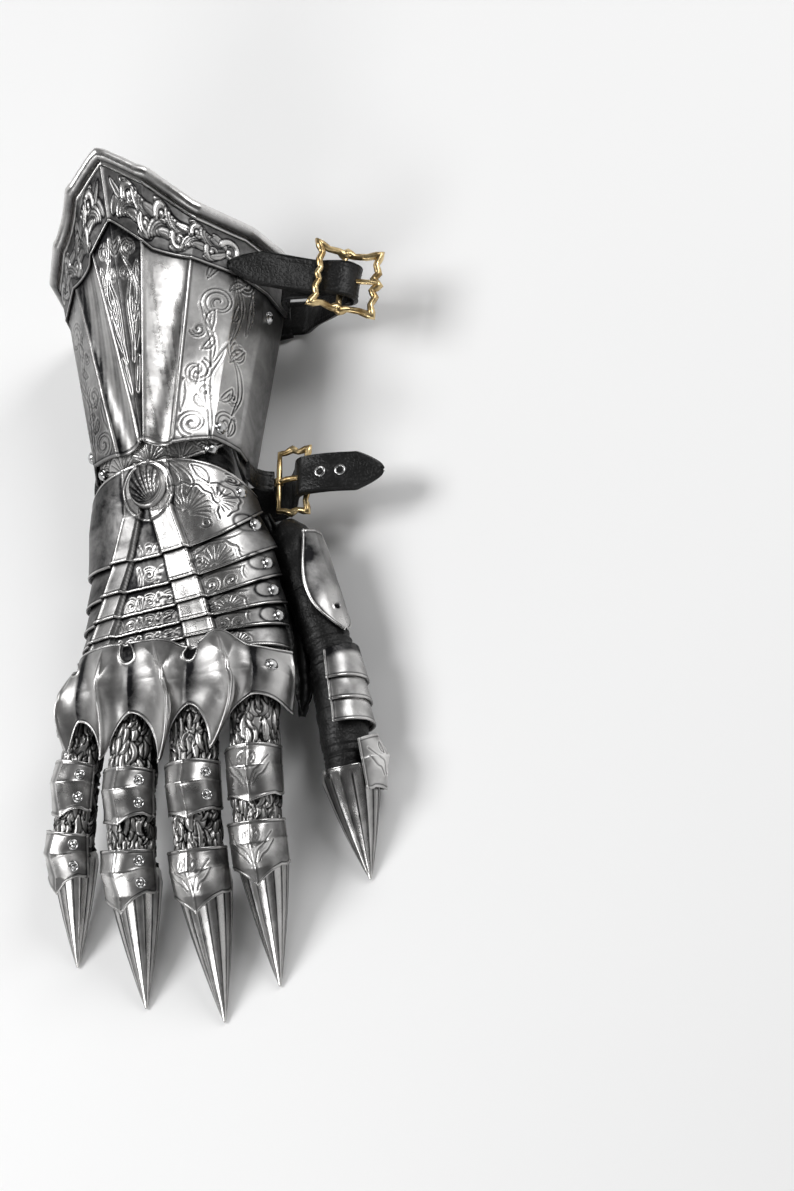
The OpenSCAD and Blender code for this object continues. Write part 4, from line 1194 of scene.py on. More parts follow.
# Hollows at the roots of the valleys: place, turn, half length and half width
TEARDROPS = [(-53.5, -27.5, 20, 5.0, 2.2), (-21.5, -28.5, 12, 6.0, 3.0), (13, -35.5, -30, 5.0, 2.6)]


def off_ridge(k, f):
    """0 on a ridge of the knuckle plate and 1 in a valley."""
    return np.where(k % 2 == 1, f, 1 - f)


def knuckle_roots(k, f):
    """Points of the upper edge, which follows the back of the hand in one smooth line."""
    table = np.array([KNUCKLE_ROOTS[0]] + KNUCKLE_ROOTS + [KNUCKLE_ROOTS[-1]], float)
    smooth = step(0, 1, f)
    a, y, more = [lerp(table[k, n], table[k + 1, n], smooth if n else f) for n in range(3)]
    over = back_lift(a, y, KNUCKLE_LIFT + more)
    straight = lerp(KNUCKLE_LINES[k, 0], KNUCKLE_LINES[k + 1, 0], f[..., None])
    outer = ((k == 0) | (k == 8))[..., None]
    return np.where(outer, straight, over)


def knuckle_shape(u, v):
    """Each column runs from its root over its crest to its end, with a round corner at the crest."""
    k, f = knuckle_place(u)
    from_ridge = (k % 2 == 1) | (k == 0)
    up = np.where(from_ridge, 0.3 * f + 0.7 * step(0, 1, f), 1 - cos_d(90 * f))
    out = np.where(from_ridge, f, sin_d(90 * f))
    turned = np.minimum(2 * v, 1)
    mix = np.stack([lerp(f, out, turned), lerp(f, up, turned), lerp(f, up, turned)], -1)
    root = knuckle_roots(k, f)
    crest = lerp(KNUCKLE_LINES[k, 1], KNUCKLE_LINES[k + 1, 1], mix)
    end = lerp(KNUCKLE_LINES[k, 2], KNUCKLE_LINES[k + 1, 2], mix)
    ridge = off_ridge(k, f)
    # The corner is crisp on a ridge and wide between the ridges
    soft = lerp(0.13, 0.4, step(0, 0.5, ridge))[..., None]
    corner = (crest - 0.5 * soft * (root + end)) / (1 - soft)
    before = lerp(root, corner, np.clip(2 * v, 0, 1)[..., None])
    after = lerp(corner, end, np.clip(2 * v - 1, 0, 1)[..., None])
    t = np.clip((v[..., None] - 0.5) / (2 * soft) + 0.5, 0, 1)
    first = lerp(corner, root, 2 * soft)
    last = lerp(corner, end, 2 * soft)
    turn = (1 - t) ** 2 * first + 2 * t * (1 - t) * corner + t ** 2 * last
    p = np.where(t <= 0, before, np.where(t >= 1, after, turn))
    far = np.clip(2 * v - 1, 0, 1)
    p[..., 0] += lerp(KNUCKLE_BULGE[k], KNUCKLE_BULGE[k + 1], step(0, 1, f)) * 4 * far * (1 - far)
    return p


def knuckle_relief(face):
    k, f = knuckle_place(face.u)
    ridge = off_ridge(k, f)
    crest = bell(ridge, 0.045) * step(0.04, 0.3, face.v)
    hollow = np.sin(np.pi * np.clip(ridge, 0, 1)) * step(0.05, 0.4, face.v)
    valley = bell(1 - ridge, 0.2)
    # Painted light: one side of each ridge lighter than the other, painted shade in the valleys and beside
    # the crest, a painted highlight on the crest, and darker toward the root and the lower end
    ulnar_side = k % 2 == 0
    radial_tone = 0.86 - 0.4 * step(0.05, 0.5, ridge) + 0.25 * step(0.45, 0.8, ridge)
    tone = np.where(ulnar_side, 0.9 - 0.35 * step(0.2, 0.9, ridge), radial_tone)
    tone = tone - 0.7 * valley * (1 - 0.35 * face.v)
    tone = tone * (0.6 + 0.4 * step(0.1, 0.45, face.v)) * (1 - 0.3 * step(0.8, 1.0, face.v))
    tone = tone * (1 - 0.5 * bell(ridge - 0.1, 0.05) * step(0.3, 0.6, face.v))
    tone = np.maximum(tone, 0.97 * crest)
    little = k < 3
    height = 0.6 * crest - np.where(little | (k == 8), 0.8, 2.2) * hollow + mottle(face, 31, 16, 0.25)
    cut_in = step(0.12, 0.4, face.v) * (1 - step(0.75, 1.0, face.v))
    height = height - np.where(little, 0.2, 0.8) * valley * cut_in
    for x, y, turn, long, wide in TEARDROPS:
        c, s = math.cos(math.radians(turn)), math.sin(math.radians(turn))
        dx, dy = face.p[..., 0] - x, face.p[..., 1] - y
        a, b = (dx * c + dy * s) / wide, (-dx * s + dy * c) / long
        d = np.hypot(a * (1 + 0.35 * b), b)
        hole = 1 - step(0.8, 1.0, d)
        rim = bell(d - 1.17, 0.1)
        height = height - 1.6 * hole + 0.35 * rim
        # Painted shade in each hollow and a painted highlight on its rim
        tone = np.maximum(tone * (1 - 0.98 * hole), 0.92 * rim)
    height, tone = add_border(height, tone, face.up, 0.7, 0.5, 0.98)
    return add_border(height, tone, face.y, 0.7, 0.42, 0.85)


skin("knuckle_guard", knuckle_shape, 288, 110, PLATE_T, BRIGHT, "hand",
     ["knuckle_plate"], knuckle_relief)


def wing_spot(f, v):
    """A place on the knuckle plate's wing beside the index finger, with its normal."""
    u = 1 - lerp(KNUCKLE_STOPS[8], KNUCKLE_STOPS[9], f)
    p, across, down = knuckle_shape(np.array([[u, u - 0.01, u]]), np.array([[v, v, v + 0.02]]))[0]
    return tuple(p), tuple(unit(np.cross(down - p, across - p)))


domes("knuckle_rivet_head", [wing_spot(0.42, 0.42)], 6.0, "hand")


# The fingers

# One value for each of the FINGERS: millimetres and degrees, the joints' bends at rest
FINGERS = ["index", "middle", "ring", "little", "thumb"]
FINGER_R = [11.2, 11.2, 11.2, 9.6, 12]
ROOT = [(35, -46, 36), (3.5, -46.5, 37.7), (-27, -45, 36), (-54, -42, 32.5), (51.6, 30, 0)]
TURN = [-4.5, -3.3, -7.5, -13, 15]
INWARD_MID = [0, 0, 0, 0, 12]
INWARD_TIP = [0, 0, 0, 0, 2]
ROLL = [0, 0, 0, 0, 45]
LEN_BASE = [46, 48, 46, 39, 68]
LEN_MID = [33, 39, 36, 31, 56]
LEN_TIP = [70, 74, 68, 58, 56]
BEND_BASE = [2.5, 2.4, 2.5, 2.8, 1.7]
BEND_MID = [8.5, 8.6, 8.7, 8.5, 3.3]
CLAW_R = [12.6, 13.4, 13.2, 11.4, 14]
PLATE_TURN = [6, 0, -6, -16, 48]
PLATE_HALF = [80, 82, 78, 76, 52]
THUMB = 4
CLAW_TIP_R = 0.8
SLEEVE_T = 1
SLEEVE_HALF = 88
SLEEVE_CLEAR = 0.3
EMBOSSED_T = 0.9
PEAK_H = 4
PEAK_REACH = 11
STALL_T = 1.4
STALL_CLEAR = 0.25
# Along a claw's rows: the socket's lip, its turned-in rim, and the point that closes it
LIP_V = 0.03
RIM_V = 0.06
POINT_V = 0.98
LIP_DEPTH = 7
FLUTES = 8


def bend_tip(i):
    if i == THUMB:
        return 12.5
    fall = ROOT[i][2] - LEN_BASE[i] * math.sin(math.radians(BEND_BASE[i]))
    fall -= LEN_MID[i] * math.sin(math.radians(BEND_BASE[i] + BEND_MID[i]))
    return math.degrees(math.asin((fall - CLAW_TIP_R) / LEN_TIP[i])) - BEND_BASE[i] - BEND_MID[i]


class Finger:
    """The frames of one finger's three parts, in millimetres."""

    def __init__(self, i):
        self.name = FINGERS[i]
        base = turn_about("Z", TURN[i]) @ turn_about("X", BEND_BASE[i])
        mid = base @ turn_about("Z", -INWARD_MID[i]) @ turn_about("X", BEND_MID[i])
        tip = mid @ turn_about("Z", -INWARD_TIP[i]) @ turn_about("X", bend_tip(i))
        to_mid = base @ Vector((0, -LEN_BASE[i], 0))
        to_tip = to_mid + mid @ Vector((0, -LEN_MID[i], 0))
        to_end = to_tip + tip @ Vector((0, -LEN_TIP[i], 0))
        root = Vector(ROOT[i])
        if i == THUMB:
            root.z = CLAW_TIP_R - to_end.z
        roll = turn_about("Y", ROLL[i])
        self.frames = {"base": at(*root) @ base @ roll,
                       "mid": at(*(root + to_mid)) @ mid @ roll,
                       "tip": at(*(root + to_tip)) @ tip @ roll}

    def point(self, part, y, x=0, z=0):
        """A point of one part's frame, in the object's frame."""
        return tuple(self.frames[part] @ Vector((x, y, z)))


def sleeve_shape(r, y0, y1, u, v):
    a = lerp(SLEEVE_HALF, -SLEEVE_HALF, u)
    return stack(r * sin_d(a), lerp(y0, y1, v), r * cos_d(a))


def sleeve_relief(seed, face):
    """Tangled strands and leaves, deeply embossed, that run forward along the finger."""
    rng = np.random.default_rng(seed)
    cover = Ornament(face.x, face.y, ground=0.4, height=0.9, line=0.42)
    y = float(face.length.max()) + 1
    while y > -8:
        for x in np.arange(-17, 18, 4.8):
            px = x + rng.uniform(-2.2, 2.2)
            py = y + rng.uniform(-2.5, 2.5)
            lean = rng.uniform(-75, 75)
            pts = cover.leaf_line(px, py, 90 + lean, rng.uniform(9, 17), -2.0 * lean)[1]
            half = rng.uniform(0.8, 2.1) * np.sin(np.pi * np.linspace(0.08, 1, 11)) ** 0.7
            cover.stroke(pts, half, rng.uniform(0.5, 1.0), rng.random() < 0.65)
            # Some leaves get a sunken dark stroke beside them, painted shade in a recess
            if rng.random() < 0.3:
                cover.stroke(pts[5:9] + [1.2, 0], [0.3, 0.8, 0.6, 0.2], 0.01, rise=-0.5)
            if rng.random() < 0.45:
                turned = cover.leaf_line(px + 1, py, 90 - lean, rng.uniform(7, 11), 1.6 * lean)[1]
                cover.engrave(turned, 0.42, 0.5, 0.5)
        y -= 5.0
    # Darker toward both sides of the sleeve, as painted shade
    return cover.height, cover.tone * (1 - 0.65 * step(10, 17, np.abs(face.x)))


def joint_plate_shape(r, half, y0, y1, point, slant, u, v):
    """A plate from y0 to y1 that is bent outward in a peak at y 0."""
    a = lerp(half, -half, u)
    c = np.maximum(cos_d(90 * a / half), 0)
    # The lower edge runs in two hollow curves to a sharp point
    middle = 1 - np.abs(a) / half
    lower = y1 - point * middle ** 2.3 - 0.8 * np.sin(np.pi * np.clip(3 * middle, 0, 1))
    lower = lower + slant * sin_d(90 * a / half) * c
    y = lerp(y0 + 1.5 * c, lower, v)
    crest = np.clip(1 - np.abs(y) / np.where(y > 0, y0, -y1), 0, 1)
    back = np.clip(y / y0, 0, 1)
    q = r + PEAK_H * crest * c * c + 0.3 * back
    return stack(q * sin_d(a), y, q * cos_d(a))


def joint_plate_relief(seed, ridge, face):
    ends = np.minimum(face.y, face.up)
    height = mottle(face, seed, 9, 0.24)
    peak = (face.v - 0.42) * face.length
    crease = bell(peak, 0.6)
    # The facet before the peak is painted mid-grey and the one after it lighter near the peak, as painted
    # light and shade; the crease gets a painted highlight
    tone = np.where(peak < 0, 0.55, 0.86 - 0.3 * step(2, 8, peak)) + mottle(face, seed + 7, 13, 0.3)
    height = height + 0.25 * crease
    tone = np.maximum(tone, 0.9 * crease)
    # A painted highlight along the middle line
    line = bell(face.x, 0.6)
    if ridge:
        cut = Ornament(face.x, face.y, ground=tone)
        for side in (-1, 1):
            for shine, *path in ((0.5, (11, 6), (7.0, 11.5), (3.6, 14.6), (0.9, 21)),
                                 (0.4, (12, 10), (8.0, 15), (5.4, 17), (3.0, 21))):
                cut.cut_curve([(side * x, y) for x, y in path], 0, shine)
            cut.outline_leaf(side * 1.2, 4.0, 90 - side * 40, 7, side * 50, 1.2, 0.4)
        height = height + cut.height + 0.5 * line
        tone = np.maximum(cut.tone, 0.95 * line)
    else:
        height = height + 0.3 * line
        # Painted shade beside the middle line on one side
        tone = np.maximum(tone * (1 - 0.5 * bell(face.x - 2.0, 1.1)), 0.85 * line)
    # Darker toward both sides, as painted shade
    tone = tone * (1 - 0.45 * step(9, 15, np.abs(face.x)))
    height, tone = add_border(height, tone, ends, 0.8, 0.42)
    return add_border(height, tone, face.sides, 0.7, 0.4, 0.85)


RING_RIVET = [(0, 0.6), (1.2, 0.5), (1.5, 0.05), (1.8, 0.05), (2.0, 0.6), (2.35, 0.7), (2.65, 0.3),
              (2.7, -0.6), (0, -0.6)]
RING_RIVET_A = 42


def ring_rivets(name, spots, body):
    """Flat rivets with a raised rim, as the finger plates have."""
    target = bmesh.new()
    for point, normal in spots:
        put(target, spun(RING_RIVET, 20), stood(point, normal))
    solid_piece(name, target, RIVET, body)


def plate_spots(matrix, r, half, ys):
    """Places on a joint plate beside its middle, with the normals there."""
    spots = []
    a = math.radians(RING_RIVET_A)
    for y in ys:
        q = r + max(1 - abs(y) / PEAK_REACH, 0) * PEAK_H * cos_d(90 * RING_RIVET_A / half) ** 2
        p = matrix @ Vector((q * math.sin(a), y, q * math.cos(a)))
        n = matrix.to_3x3() @ Vector((math.sin(a), 0.10 * (1 if y > 0 else -1), math.cos(a)))
        spots.append((tuple(p), tuple(n)))
    return spots


def claw_run(v):
    """How far a row lies from the socket, 0, to the point, 1."""
    return np.clip((v - RIM_V) / (POINT_V - RIM_V), 0, 1)


def claw_profile(i, f):
    return CLAW_TIP_R + (CLAW_R[i] - CLAW_TIP_R) * (1 - np.clip(f, 0, 1) ** 1.35)


def claw_shape(i, start, u, v):
    f = claw_run(v)
    r = claw_profile(i, f)
    root = (CLAW_R[i] - 1.3) / CLAW_R[i]
    r = np.where(v < RIM_V, lerp(r * root, r, np.clip(v / RIM_V, 0, 1)), r)
    end = np.clip((v - POINT_V) / (1 - POINT_V), 0, 1)
    r = np.where(v > POINT_V, CLAW_TIP_R * np.sqrt(np.clip(1 - end ** 2, 0, 1)), r)
    y = -lerp(start, LEN_TIP[i] - CLAW_TIP_R, f) - CLAW_TIP_R * end * (v > POINT_V)
    inner = np.clip(1 - v / LIP_V, 0, 1)
    y = y - LIP_DEPTH * inner
    r = np.where(v < LIP_V, CLAW_R[i] * root - 0.6 * inner, r)
    a = 360 * u + 180
    # The palm side is cut away for the joint's fold
    under = np.clip(-cos_d(a), 0, 1)
    y = y - np.where(f < 0.25, (r * under) * 0.62 * (1 - f / 0.25), 0)
    return stack(r * sin_d(a), y, r * cos_d(a))


def claw_relief(i, face):
    a = 360 * face.u + 180
    f = claw_run(face.v)
    flute = np.abs(sin_d(a * FLUTES + 11))
    fade = step(0.02, 0.1, f) * (1 - step(0.9, 0.99, f))
    depth = 0.06 * claw_profile(i, f)
    height = -depth * (1 - flute ** 0.45) * fade
    # Painted shade in the bottoms of the flutes and painted highlights on their ridges
    tone = 0.03 + 0.9 * step(0.08, 0.62, flute)
    # Lengthwise painted reflections round the claw
    reflection_streak = 0.5 + 0.5 * np.sin(np.radians(a * 5 + 40 * i)) * np.sin(np.radians(a * 2 + 70))
    tone = lerp(0.75, tone * (0.42 + 0.58 * reflection_streak), fade)
    # A painted highlight on the ring at the socket's rim, and painted shade inside the socket
    rim = bell((f - 0.012) * LEN_TIP[i], 0.6) * (face.v > 0.05)
    tone = np.where(face.v < 0.045, 0.1, tone)
    return height + 0.25 * rim, np.maximum(tone, 0.95 * rim)


def tube_shape(centres, radii, u, v):
    """A tube whose rings are centred on a path of points, with its own radius at each."""
    centres = np.asarray(centres, float)
    run = run_along(centres)
    run = run / run[-1]
    ahead = on_line(np.minimum(v + 0.02, 1), run, centres)
    behind = on_line(np.maximum(v - 0.02, 0), run, centres)
    d = unit(ahead - behind)
    side = unit(np.cross(d, np.broadcast_to([0.0, 0, 1], d.shape)))
    up = np.cross(side, d)
    r = np.interp(v, run, radii)
    a = 360 * u
    return on_line(v, run, centres) + side * (r * sin_d(a))[..., None] + up * (r * cos_d(a))[..., None]


def stall_relief(seed, joint_at, spread, depth, face):
    """Folds of the leather, deepest at the joint and on the palm side, and a seam along the palm."""
    rng = np.random.default_rng(seed)
    a = 360 * face.u
    phase = rng.uniform(0, math.tau)
    near = bell(face.y - joint_at, spread)
    wave = np.sin(face.y * 1.55 + 0.9 * sin_d(a + 40) + phase) + 0.5 * np.sin(face.y * 2.9 - 1.3 * cos_d(a))
    palm = 0.55 + 0.45 * step(-0.2, 0.9, -cos_d(a))
    slack = 0.25 * np.sin(face.y * 0.5 + 2 * sin_d(a) + phase)
    height = depth * near * palm * wave * 0.5 + slack - depth * near * 0.4
    seam = bell(np.abs(np.abs(a - 180) - 55), 2.2)
    return height + 0.35 * seam, 0.5


def stall(f, part, path, radii, blend_at, seed, joint_at, spread=9.0, depth=1.1, nodes=()):
    """A leather finger tube over the joint between its two bodies."""
    name = f"{f.name}_leather_{part}"
    face = Face(partial(tube_shape, [f.point(*p) for p in path], radii), 56, 64, True)
    mesh = skin_mesh(name, face, partial(stall_relief, seed, joint_at, spread, depth), closed=True)
    piece = finish_piece(name, mesh, GLOVE, None, nodes)
    add_wall(piece, STALL_T)
    start, end = [tuple(c * MM for c in f.point(*p)) for p in blend_at]
    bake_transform(piece)
    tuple(start)
    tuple(end)


def make_stalls(f, i):
    """Three tubes, each over one joint, that meet inside the sleeves and in the claw."""
    base, mid, tip = [f"{f.name}_{part}" for part in ("base", "mid", "tip")]
    r = FINGER_R[i] - STALL_CLEAR
    lb, lm = LEN_BASE[i], LEN_MID[i]
    stall(f, "root", [("base", 10, 0, -1), ("base", 3), ("base", -8), ("base", -lb * 0.5)],
          [r - 1.0, r - 0.2, r, r], (("base", 6), ("base", -7)), 100 + i, 10, 8, 0.8, [base + "_stall"])
    stall(f, "middle",
          [("base", -lb * 0.5 + 0.3), ("base", -lb + 4), ("mid", 0), ("mid", -4), ("mid", -lm * 0.55)],
          [r, r, r - 0.2, r, r], (("base", -lb + 6), ("mid", -6)), 110 + i, lb * 0.5, nodes=[mid + "_stall"])
    stall(f, "end", [("mid", -lm * 0.55 + 0.3), ("mid", -lm + 4), ("tip", 0), ("tip", -4)],
          [r, r, r - 0.4, r - 1.2], (("mid", -lm + 5), ("tip", -3.5)), 120 + i, lm * 0.45, 7, 0.8)


def make_finger(i):
    f = Finger(i)
    n = f.name
    make_stalls(f, i)
    # Embossed sleeves
    cover_r = FINGER_R[i] + SLEEVE_CLEAR + SLEEVE_T
    for word, part, y0, y1, rows, seed in (("back", "base", -7, -LEN_BASE[i] + 1.2, 90, 200),
                                           ("front", "mid", -1.2, -LEN_MID[i] + 1.2, 80, 210)):
        shape = partial(sleeve_shape, cover_r - 0.45, y0, y1)
        skin(f"{n}_leaf_sleeve_{word}", place(f.frames[part], shape), 110, rows, EMBOSSED_T, EMBOSSED,
             f"{n}_{part}", [f"{n}_{part}_sleeve"], partial(sleeve_relief, seed + i))
    # Peaked plates over the two joints, with their rivets
    half = PLATE_HALF[i]
    slant = 3.0 if i > 1 else 0.0
    for word, part, r, y0, y1, point, seed, ridge, riveted, low in (
            ("knuckle", "mid", cover_r + PLAY + PLATE_T, 10, -13, 4, 300, i == 0, i > 0, -6.5),
            ("end", "tip", CLAW_R[i] + PLAY + PLATE_T, 9, -12, 8.5, 310, i < 2, i > 1, -6)):
        turned = f.frames[part] @ turn_about("Y", PLATE_TURN[i])
        shape = partial(joint_plate_shape, r, half, y0, y1, point, slant)
        skin(f"{n}_{word}_plate", place(turned, shape), 72, 44, PLATE_T, STEEL, f"{n}_{part}",
             [f"{n}_{part}_plate"], partial(joint_plate_relief, seed + i, ridge))
        if riveted:
            spots = plate_spots(turned, r + 0.35, half, (4.5, low))
            ring_rivets(f"{n}_{word}_plate_rivets", spots, f"{n}_{part}")
    make_claw(i, f)


def make_claw(i, f):
    start = 1.35 if i == THUMB else 0.35
    skin(f.name + "_claw_horn", place(f.frames["tip"], partial(claw_shape, i, start)), 156, 90, 0, CLAW,
         f.name + "_tip", [f.name + "_claw"], partial(claw_relief, i), closed=True)


for finger in range(4):
    make_finger(finger)


# The thumb

THUMB_PLATE_TURN = 30
THUMB_R = FINGER_R[THUMB]
THUMB_LAME_HALF = 74
LEAF_Y = (-6, -62)
LEAF_SHIFT = 8


def thumb_leaf_shape(u, v):
    r = THUMB_R + 0.4 + PLATE_T
    y = lerp(LEAF_Y[0], LEAF_Y[1], v)
    half = lerp(26, 8, v) + 44 * np.sin(np.pi * (1 - v) ** 0.7) ** 1.1
    a = lerp(half - LEAF_SHIFT, -half - LEAF_SHIFT, u)
    q = r + 2 * cos_d(90 * v)
    return stack(q * sin_d(a), y, q * cos_d(a))


def thumb_leaf_relief(face):
    along = face.y / face.length
    height = mottle(face, 50, 18, 0.35) + 0.35 * bell(face.x, 1.4)
    # Painted lighter toward its tip, and painted shade on one side of its middle ridge
    tone = 0.3 + 0.35 * step(0.5, 0.85, along) + mottle(face, 51, 16, 0.3) - 0.2 * step(2, 9, face.x)
    hole = np.hypot(face.x - 1.5, (along - 0.78) * face.length)
    height = height - 0.9 * (1 - step(1.1, 1.6, hole)) + 0.3 * bell(hole - 2.2, 0.4)
    # Painted shade in the round hole
    tone = tone * (1 - 0.97 * (1 - step(1.2, 1.7, hole)))
    height, tone = add_border(height, tone, face.sides, 0.8, 0.5)
    return add_border(height, tone, face.y, 0.9, 0.5, 0.8)


def thumb_lame_shape(k, u, v):
    a = lerp(THUMB_LAME_HALF, -THUMB_LAME_HALF, u)
    c = cos_d(a * 90 / THUMB_LAME_HALF)
    q = THUMB_R + 1.0 + 2 * PLATE_T + PLAY - 1.4 * LAYER * (1 - v)
    return stack(q * sin_d(a), lerp(0, -15, v) + 3 * c * (1 - v) + 9 - 11 * k, q * cos_d(a))


def thumb_lame_relief(k, face):
    height = mottle(face, 60 + k, 12, 0.2)
    # Darker toward both sides, as painted shade
    tone = 0.6 + mottle(face, 70 + k, 10, 0.3) - 0.3 * step(4, 14, np.abs(face.x))
    # Painted shadow under the edge of the lame before, which lies over this one
    tone = tone * (0.1 + 0.9 * step(3, 6.5, face.y))
    height, tone = add_border(height, tone, face.up, 0.8, 0.45)
    return add_border(height, tone, face.sides, 0.7, 0.42, 0.85)


def make_thumb():
    f = Finger(THUMB)
    r = THUMB_R - STALL_CLEAR
    stall(f, "root",
          [("base", 2, -7.9, -13.6), ("base", 1.5, -3.6, -9.3), ("base", -3, 0, -1.5), ("base", -12),
           ("base", -34)],
          [4, 8.5, r + 0.4, r, r], (("base", 6), ("base", -12)), 104, 12, 14, 1.4, ["thumb_base_stall"])
    stall(f, "middle",
          [("base", -33.7), ("base", -62), ("mid", 0), ("mid", -5), ("mid", -30)],
          [r, r, r - 0.2, r, r], (("base", -60), ("mid", -8)), 114, 34, 14, 1.4, ["thumb_mid_stall"])
    stall(f, "end", [("mid", -29.7), ("mid", -51), ("tip", 0), ("tip", -4)],
          [r, r, r - 0.4, r - 1.2], (("mid", -50), ("tip", -3.5)), 124, 26, 9, 1.0)
    turned = f.frames["base"] @ turn_about("Y", THUMB_PLATE_TURN)
    skin("thumb_leaf_guard", place(turned, thumb_leaf_shape), 90, 110, PLATE_T, STEEL, "thumb_base",
         ["thumb_leaf_plate"], thumb_leaf_relief)
    turned = f.frames["mid"] @ turn_about("Y", THUMB_PLATE_TURN)
    for k in (1, 2, 3):
        skin(f"thumb_band_{k}", place(turned, partial(thumb_lame_shape, k)), 90, 40, PLATE_T, STEEL,
             "thumb_mid", [f"thumb_lame_{k}"], partial(thumb_lame_relief, k))
    turned = f.frames["tip"] @ turn_about("Y", PLATE_TURN[THUMB])
    shape = partial(joint_plate_shape, CLAW_R[THUMB] + 2 * PLAY + PLATE_T, PLATE_HALF[THUMB], 10, -14, 2, 0)
    skin("thumb_end_plate", place(turned, shape), 72, 48, PLATE_T, BRIGHT, "thumb_tip",
         ["thumb_tip_plate"], partial(joint_plate_relief, 314, True))
    make_claw(THUMB, f)


make_thumb()


# The glove

GLOVE_ROWS = [88, 80, 70, 62, 54, 48, 38, 24, 8, -10, -27, -42]
GLOVE_ULNAR = ([-42, -15, 0, 20, 40, 62, 88], [51, 48, 45.5, 42.5, 39, 32, 30])
GLOVE_RADIAL = ([-42, 0, 20, 40, 62, 88], [46, 44.5, 42.5, 38, 32, 30])
GLOVE_FLOOR = 2.3
GLOVE_T = 1.6
GLOVE_SQUARE = 0.8


def glove_shape(u, v):
    a = -360 * u
    s, c = [np.sign(w) * np.abs(w) ** GLOVE_SQUARE for w in (sin_d(a), cos_d(a))]
    y = np.interp(v * 11, range(12), GLOVE_ROWS)
    w = np.where(s < 0, np.interp(y, *GLOVE_ULNAR), np.interp(y, *GLOVE_RADIAL))
    dome = WRIST_PIVOT[1] + np.sqrt(np.clip((BARREL - 4.7) ** 2 - (y - WRIST_PIVOT[0]) ** 2, 0, None))
    hand = back_top(y) - lerp(1, 3, np.clip((y - 20) / 28, 0, 1))
    top = lerp(hand, dome, step(49, 54, y))
    low = np.interp(y, [-42, 28, 46, 60], [GLOVE_FLOOR, GLOVE_FLOOR, 15, 20])
    mid = (top + low) / 2 + 2
    z = mid + c * np.where(c > 0, top - mid, mid - low)
    y = np.where((z < 30) & (v > 0.9), y + (30 - z) * 0.4 * step(0.9, 1.0, v), y)
    return stack(s * w, y, z)


def glove_relief(face):
    x, y, z = np.moveaxis(face.p, -1, 0)
    below = 1 - step(30, 50, z)
    long = np.sin(y * 0.42 + 0.05 * x + 1.5 * np.sin(z * 0.13))
    cross = np.sin(y * 0.95 + 0.22 * x + 2)
    wrist = bell(y - 60, 16)
    height = -0.5 - 0.45 * below * long - 0.3 * below * cross - 0.4 * wrist * np.sin(y * 1.3)
    flat = (z < 4) & (y < 30)
    height = np.where(flat, -0.15 + 0.1 * cross, height)
    height = height - 0.9 * bell(y - 51, 6) * step(34, 50, z)
    seam = bell(z - 22 - 0.1 * y, 0.9)
    return height + 0.45 * seam, 0.5


skin("glove_leather_hand", glove_shape, 150, 120, GLOVE_T, GLOVE, "hand", ["glove_hand"],
     glove_relief, closed=True)


WEB_HAND = np.array([(40, 38, 33), (44.5, 20, 31), (46.5, 0, 28), (48, -22, 26), (48.5, -42, 24),
                     (49.5, -56, 22), (51, -64, 21)])
WEB_THUMB = np.array([(46, 40, 33), (55, 20, 31), (60, 0, 29), (63, -20, 27), (63, -40, 25),
                      (58, -56, 22.5), (52.5, -64.5, 21)])


def web_shape(u, v):
    """Leather between the hand and the thumb, slack in long folds that end at the crotch."""
    run = np.linspace(0, 1, len(WEB_HAND))
    p = lerp(on_line(v, run, WEB_HAND), on_line(v, run, WEB_THUMB), u[..., None])
    slack = np.sin(np.pi * u) * np.sin(np.pi * np.clip(0.1 + 0.9 * v, 0, 1))
    p[..., 2] += -3.0 * slack + 2.2 * slack * np.sin(u * 15 + 1.4 * np.sin(v * 3))
    return p


def web_relief(face):
    return 0.35 * np.sin(face.y * 0.33 + 9 * face.u) + 0.15 * np.sin(face.y * 1.1 + 3), 0.5


def make_thumb_web():
    mesh = skin_mesh("thumb_web_leather", Face(web_shape, 48, 90, False), web_relief)
    piece = finish_piece("thumb_web_leather", mesh, GLOVE, None)
    add_wall(piece, STALL_T)
    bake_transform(piece)


def make_palm_patch():
    """Flat leather patch with round corners, a pressed edge and a pressed line inside it."""
    bm = bmesh.new()
    bmesh.ops.create_grid(bm, x_segments=60, y_segments=54, size=0.5)
    half_w, half_l, corner, thick = 25.0, 22.0, 8.0, 1.98
    for vert in bm.verts:
        x, y = vert.co.x * 2 * half_w, vert.co.y * 2 * half_l
        dx, dy = abs(x) - (half_w - corner), abs(y) - (half_l - corner)
        edge = min(half_w - abs(x), half_l - abs(y))
        if dx > 0 and dy > 0:
            top = max(dx, dy)
            scale = top / math.hypot(dx, dy)
            x = math.copysign(half_w - corner + dx * scale, x)
            y = math.copysign(half_l - corner + dy * scale, y)
            edge = corner - top
        press = 0.5 * math.exp(-((edge - 3) / 0.7) ** 2)
        vert.co = Vector((x, y, thick - 0.7 * math.exp(-edge / 0.6) - press)) * MM
    low = bmesh.ops.extrude_face_region(bm, geom=bm.faces[:])
    for item in low["geom"]:
        if isinstance(item, bmesh.types.BMVert):
            item.co.z = 0.0
    bmesh.ops.recalc_face_normals(bm, faces=bm.faces)
    solid_piece("palm_leather_patch", bm, GLOVE, "hand", ["palm_patch"])


make_palm_patch()
make_thumb_web()


# Straps and buckles

UPPER_BAR = (95, 153, 41)
AT_UPPER = at(*UPPER_BAR) @ turn_about("Z", -12.7)
AT_UPPER_SLOPED = AT_UPPER @ turn_about("Y", 24)
AT_WRIST = at(0, 62.5, 0) @ turn_about("Z", -5)
WRIST_BAR = (50, 0, 28)
AT_WRIST_BUCKLE = AT_WRIST @ at(*WRIST_BAR) @ turn_about("Y", -3)
STRAP_T = 2.4


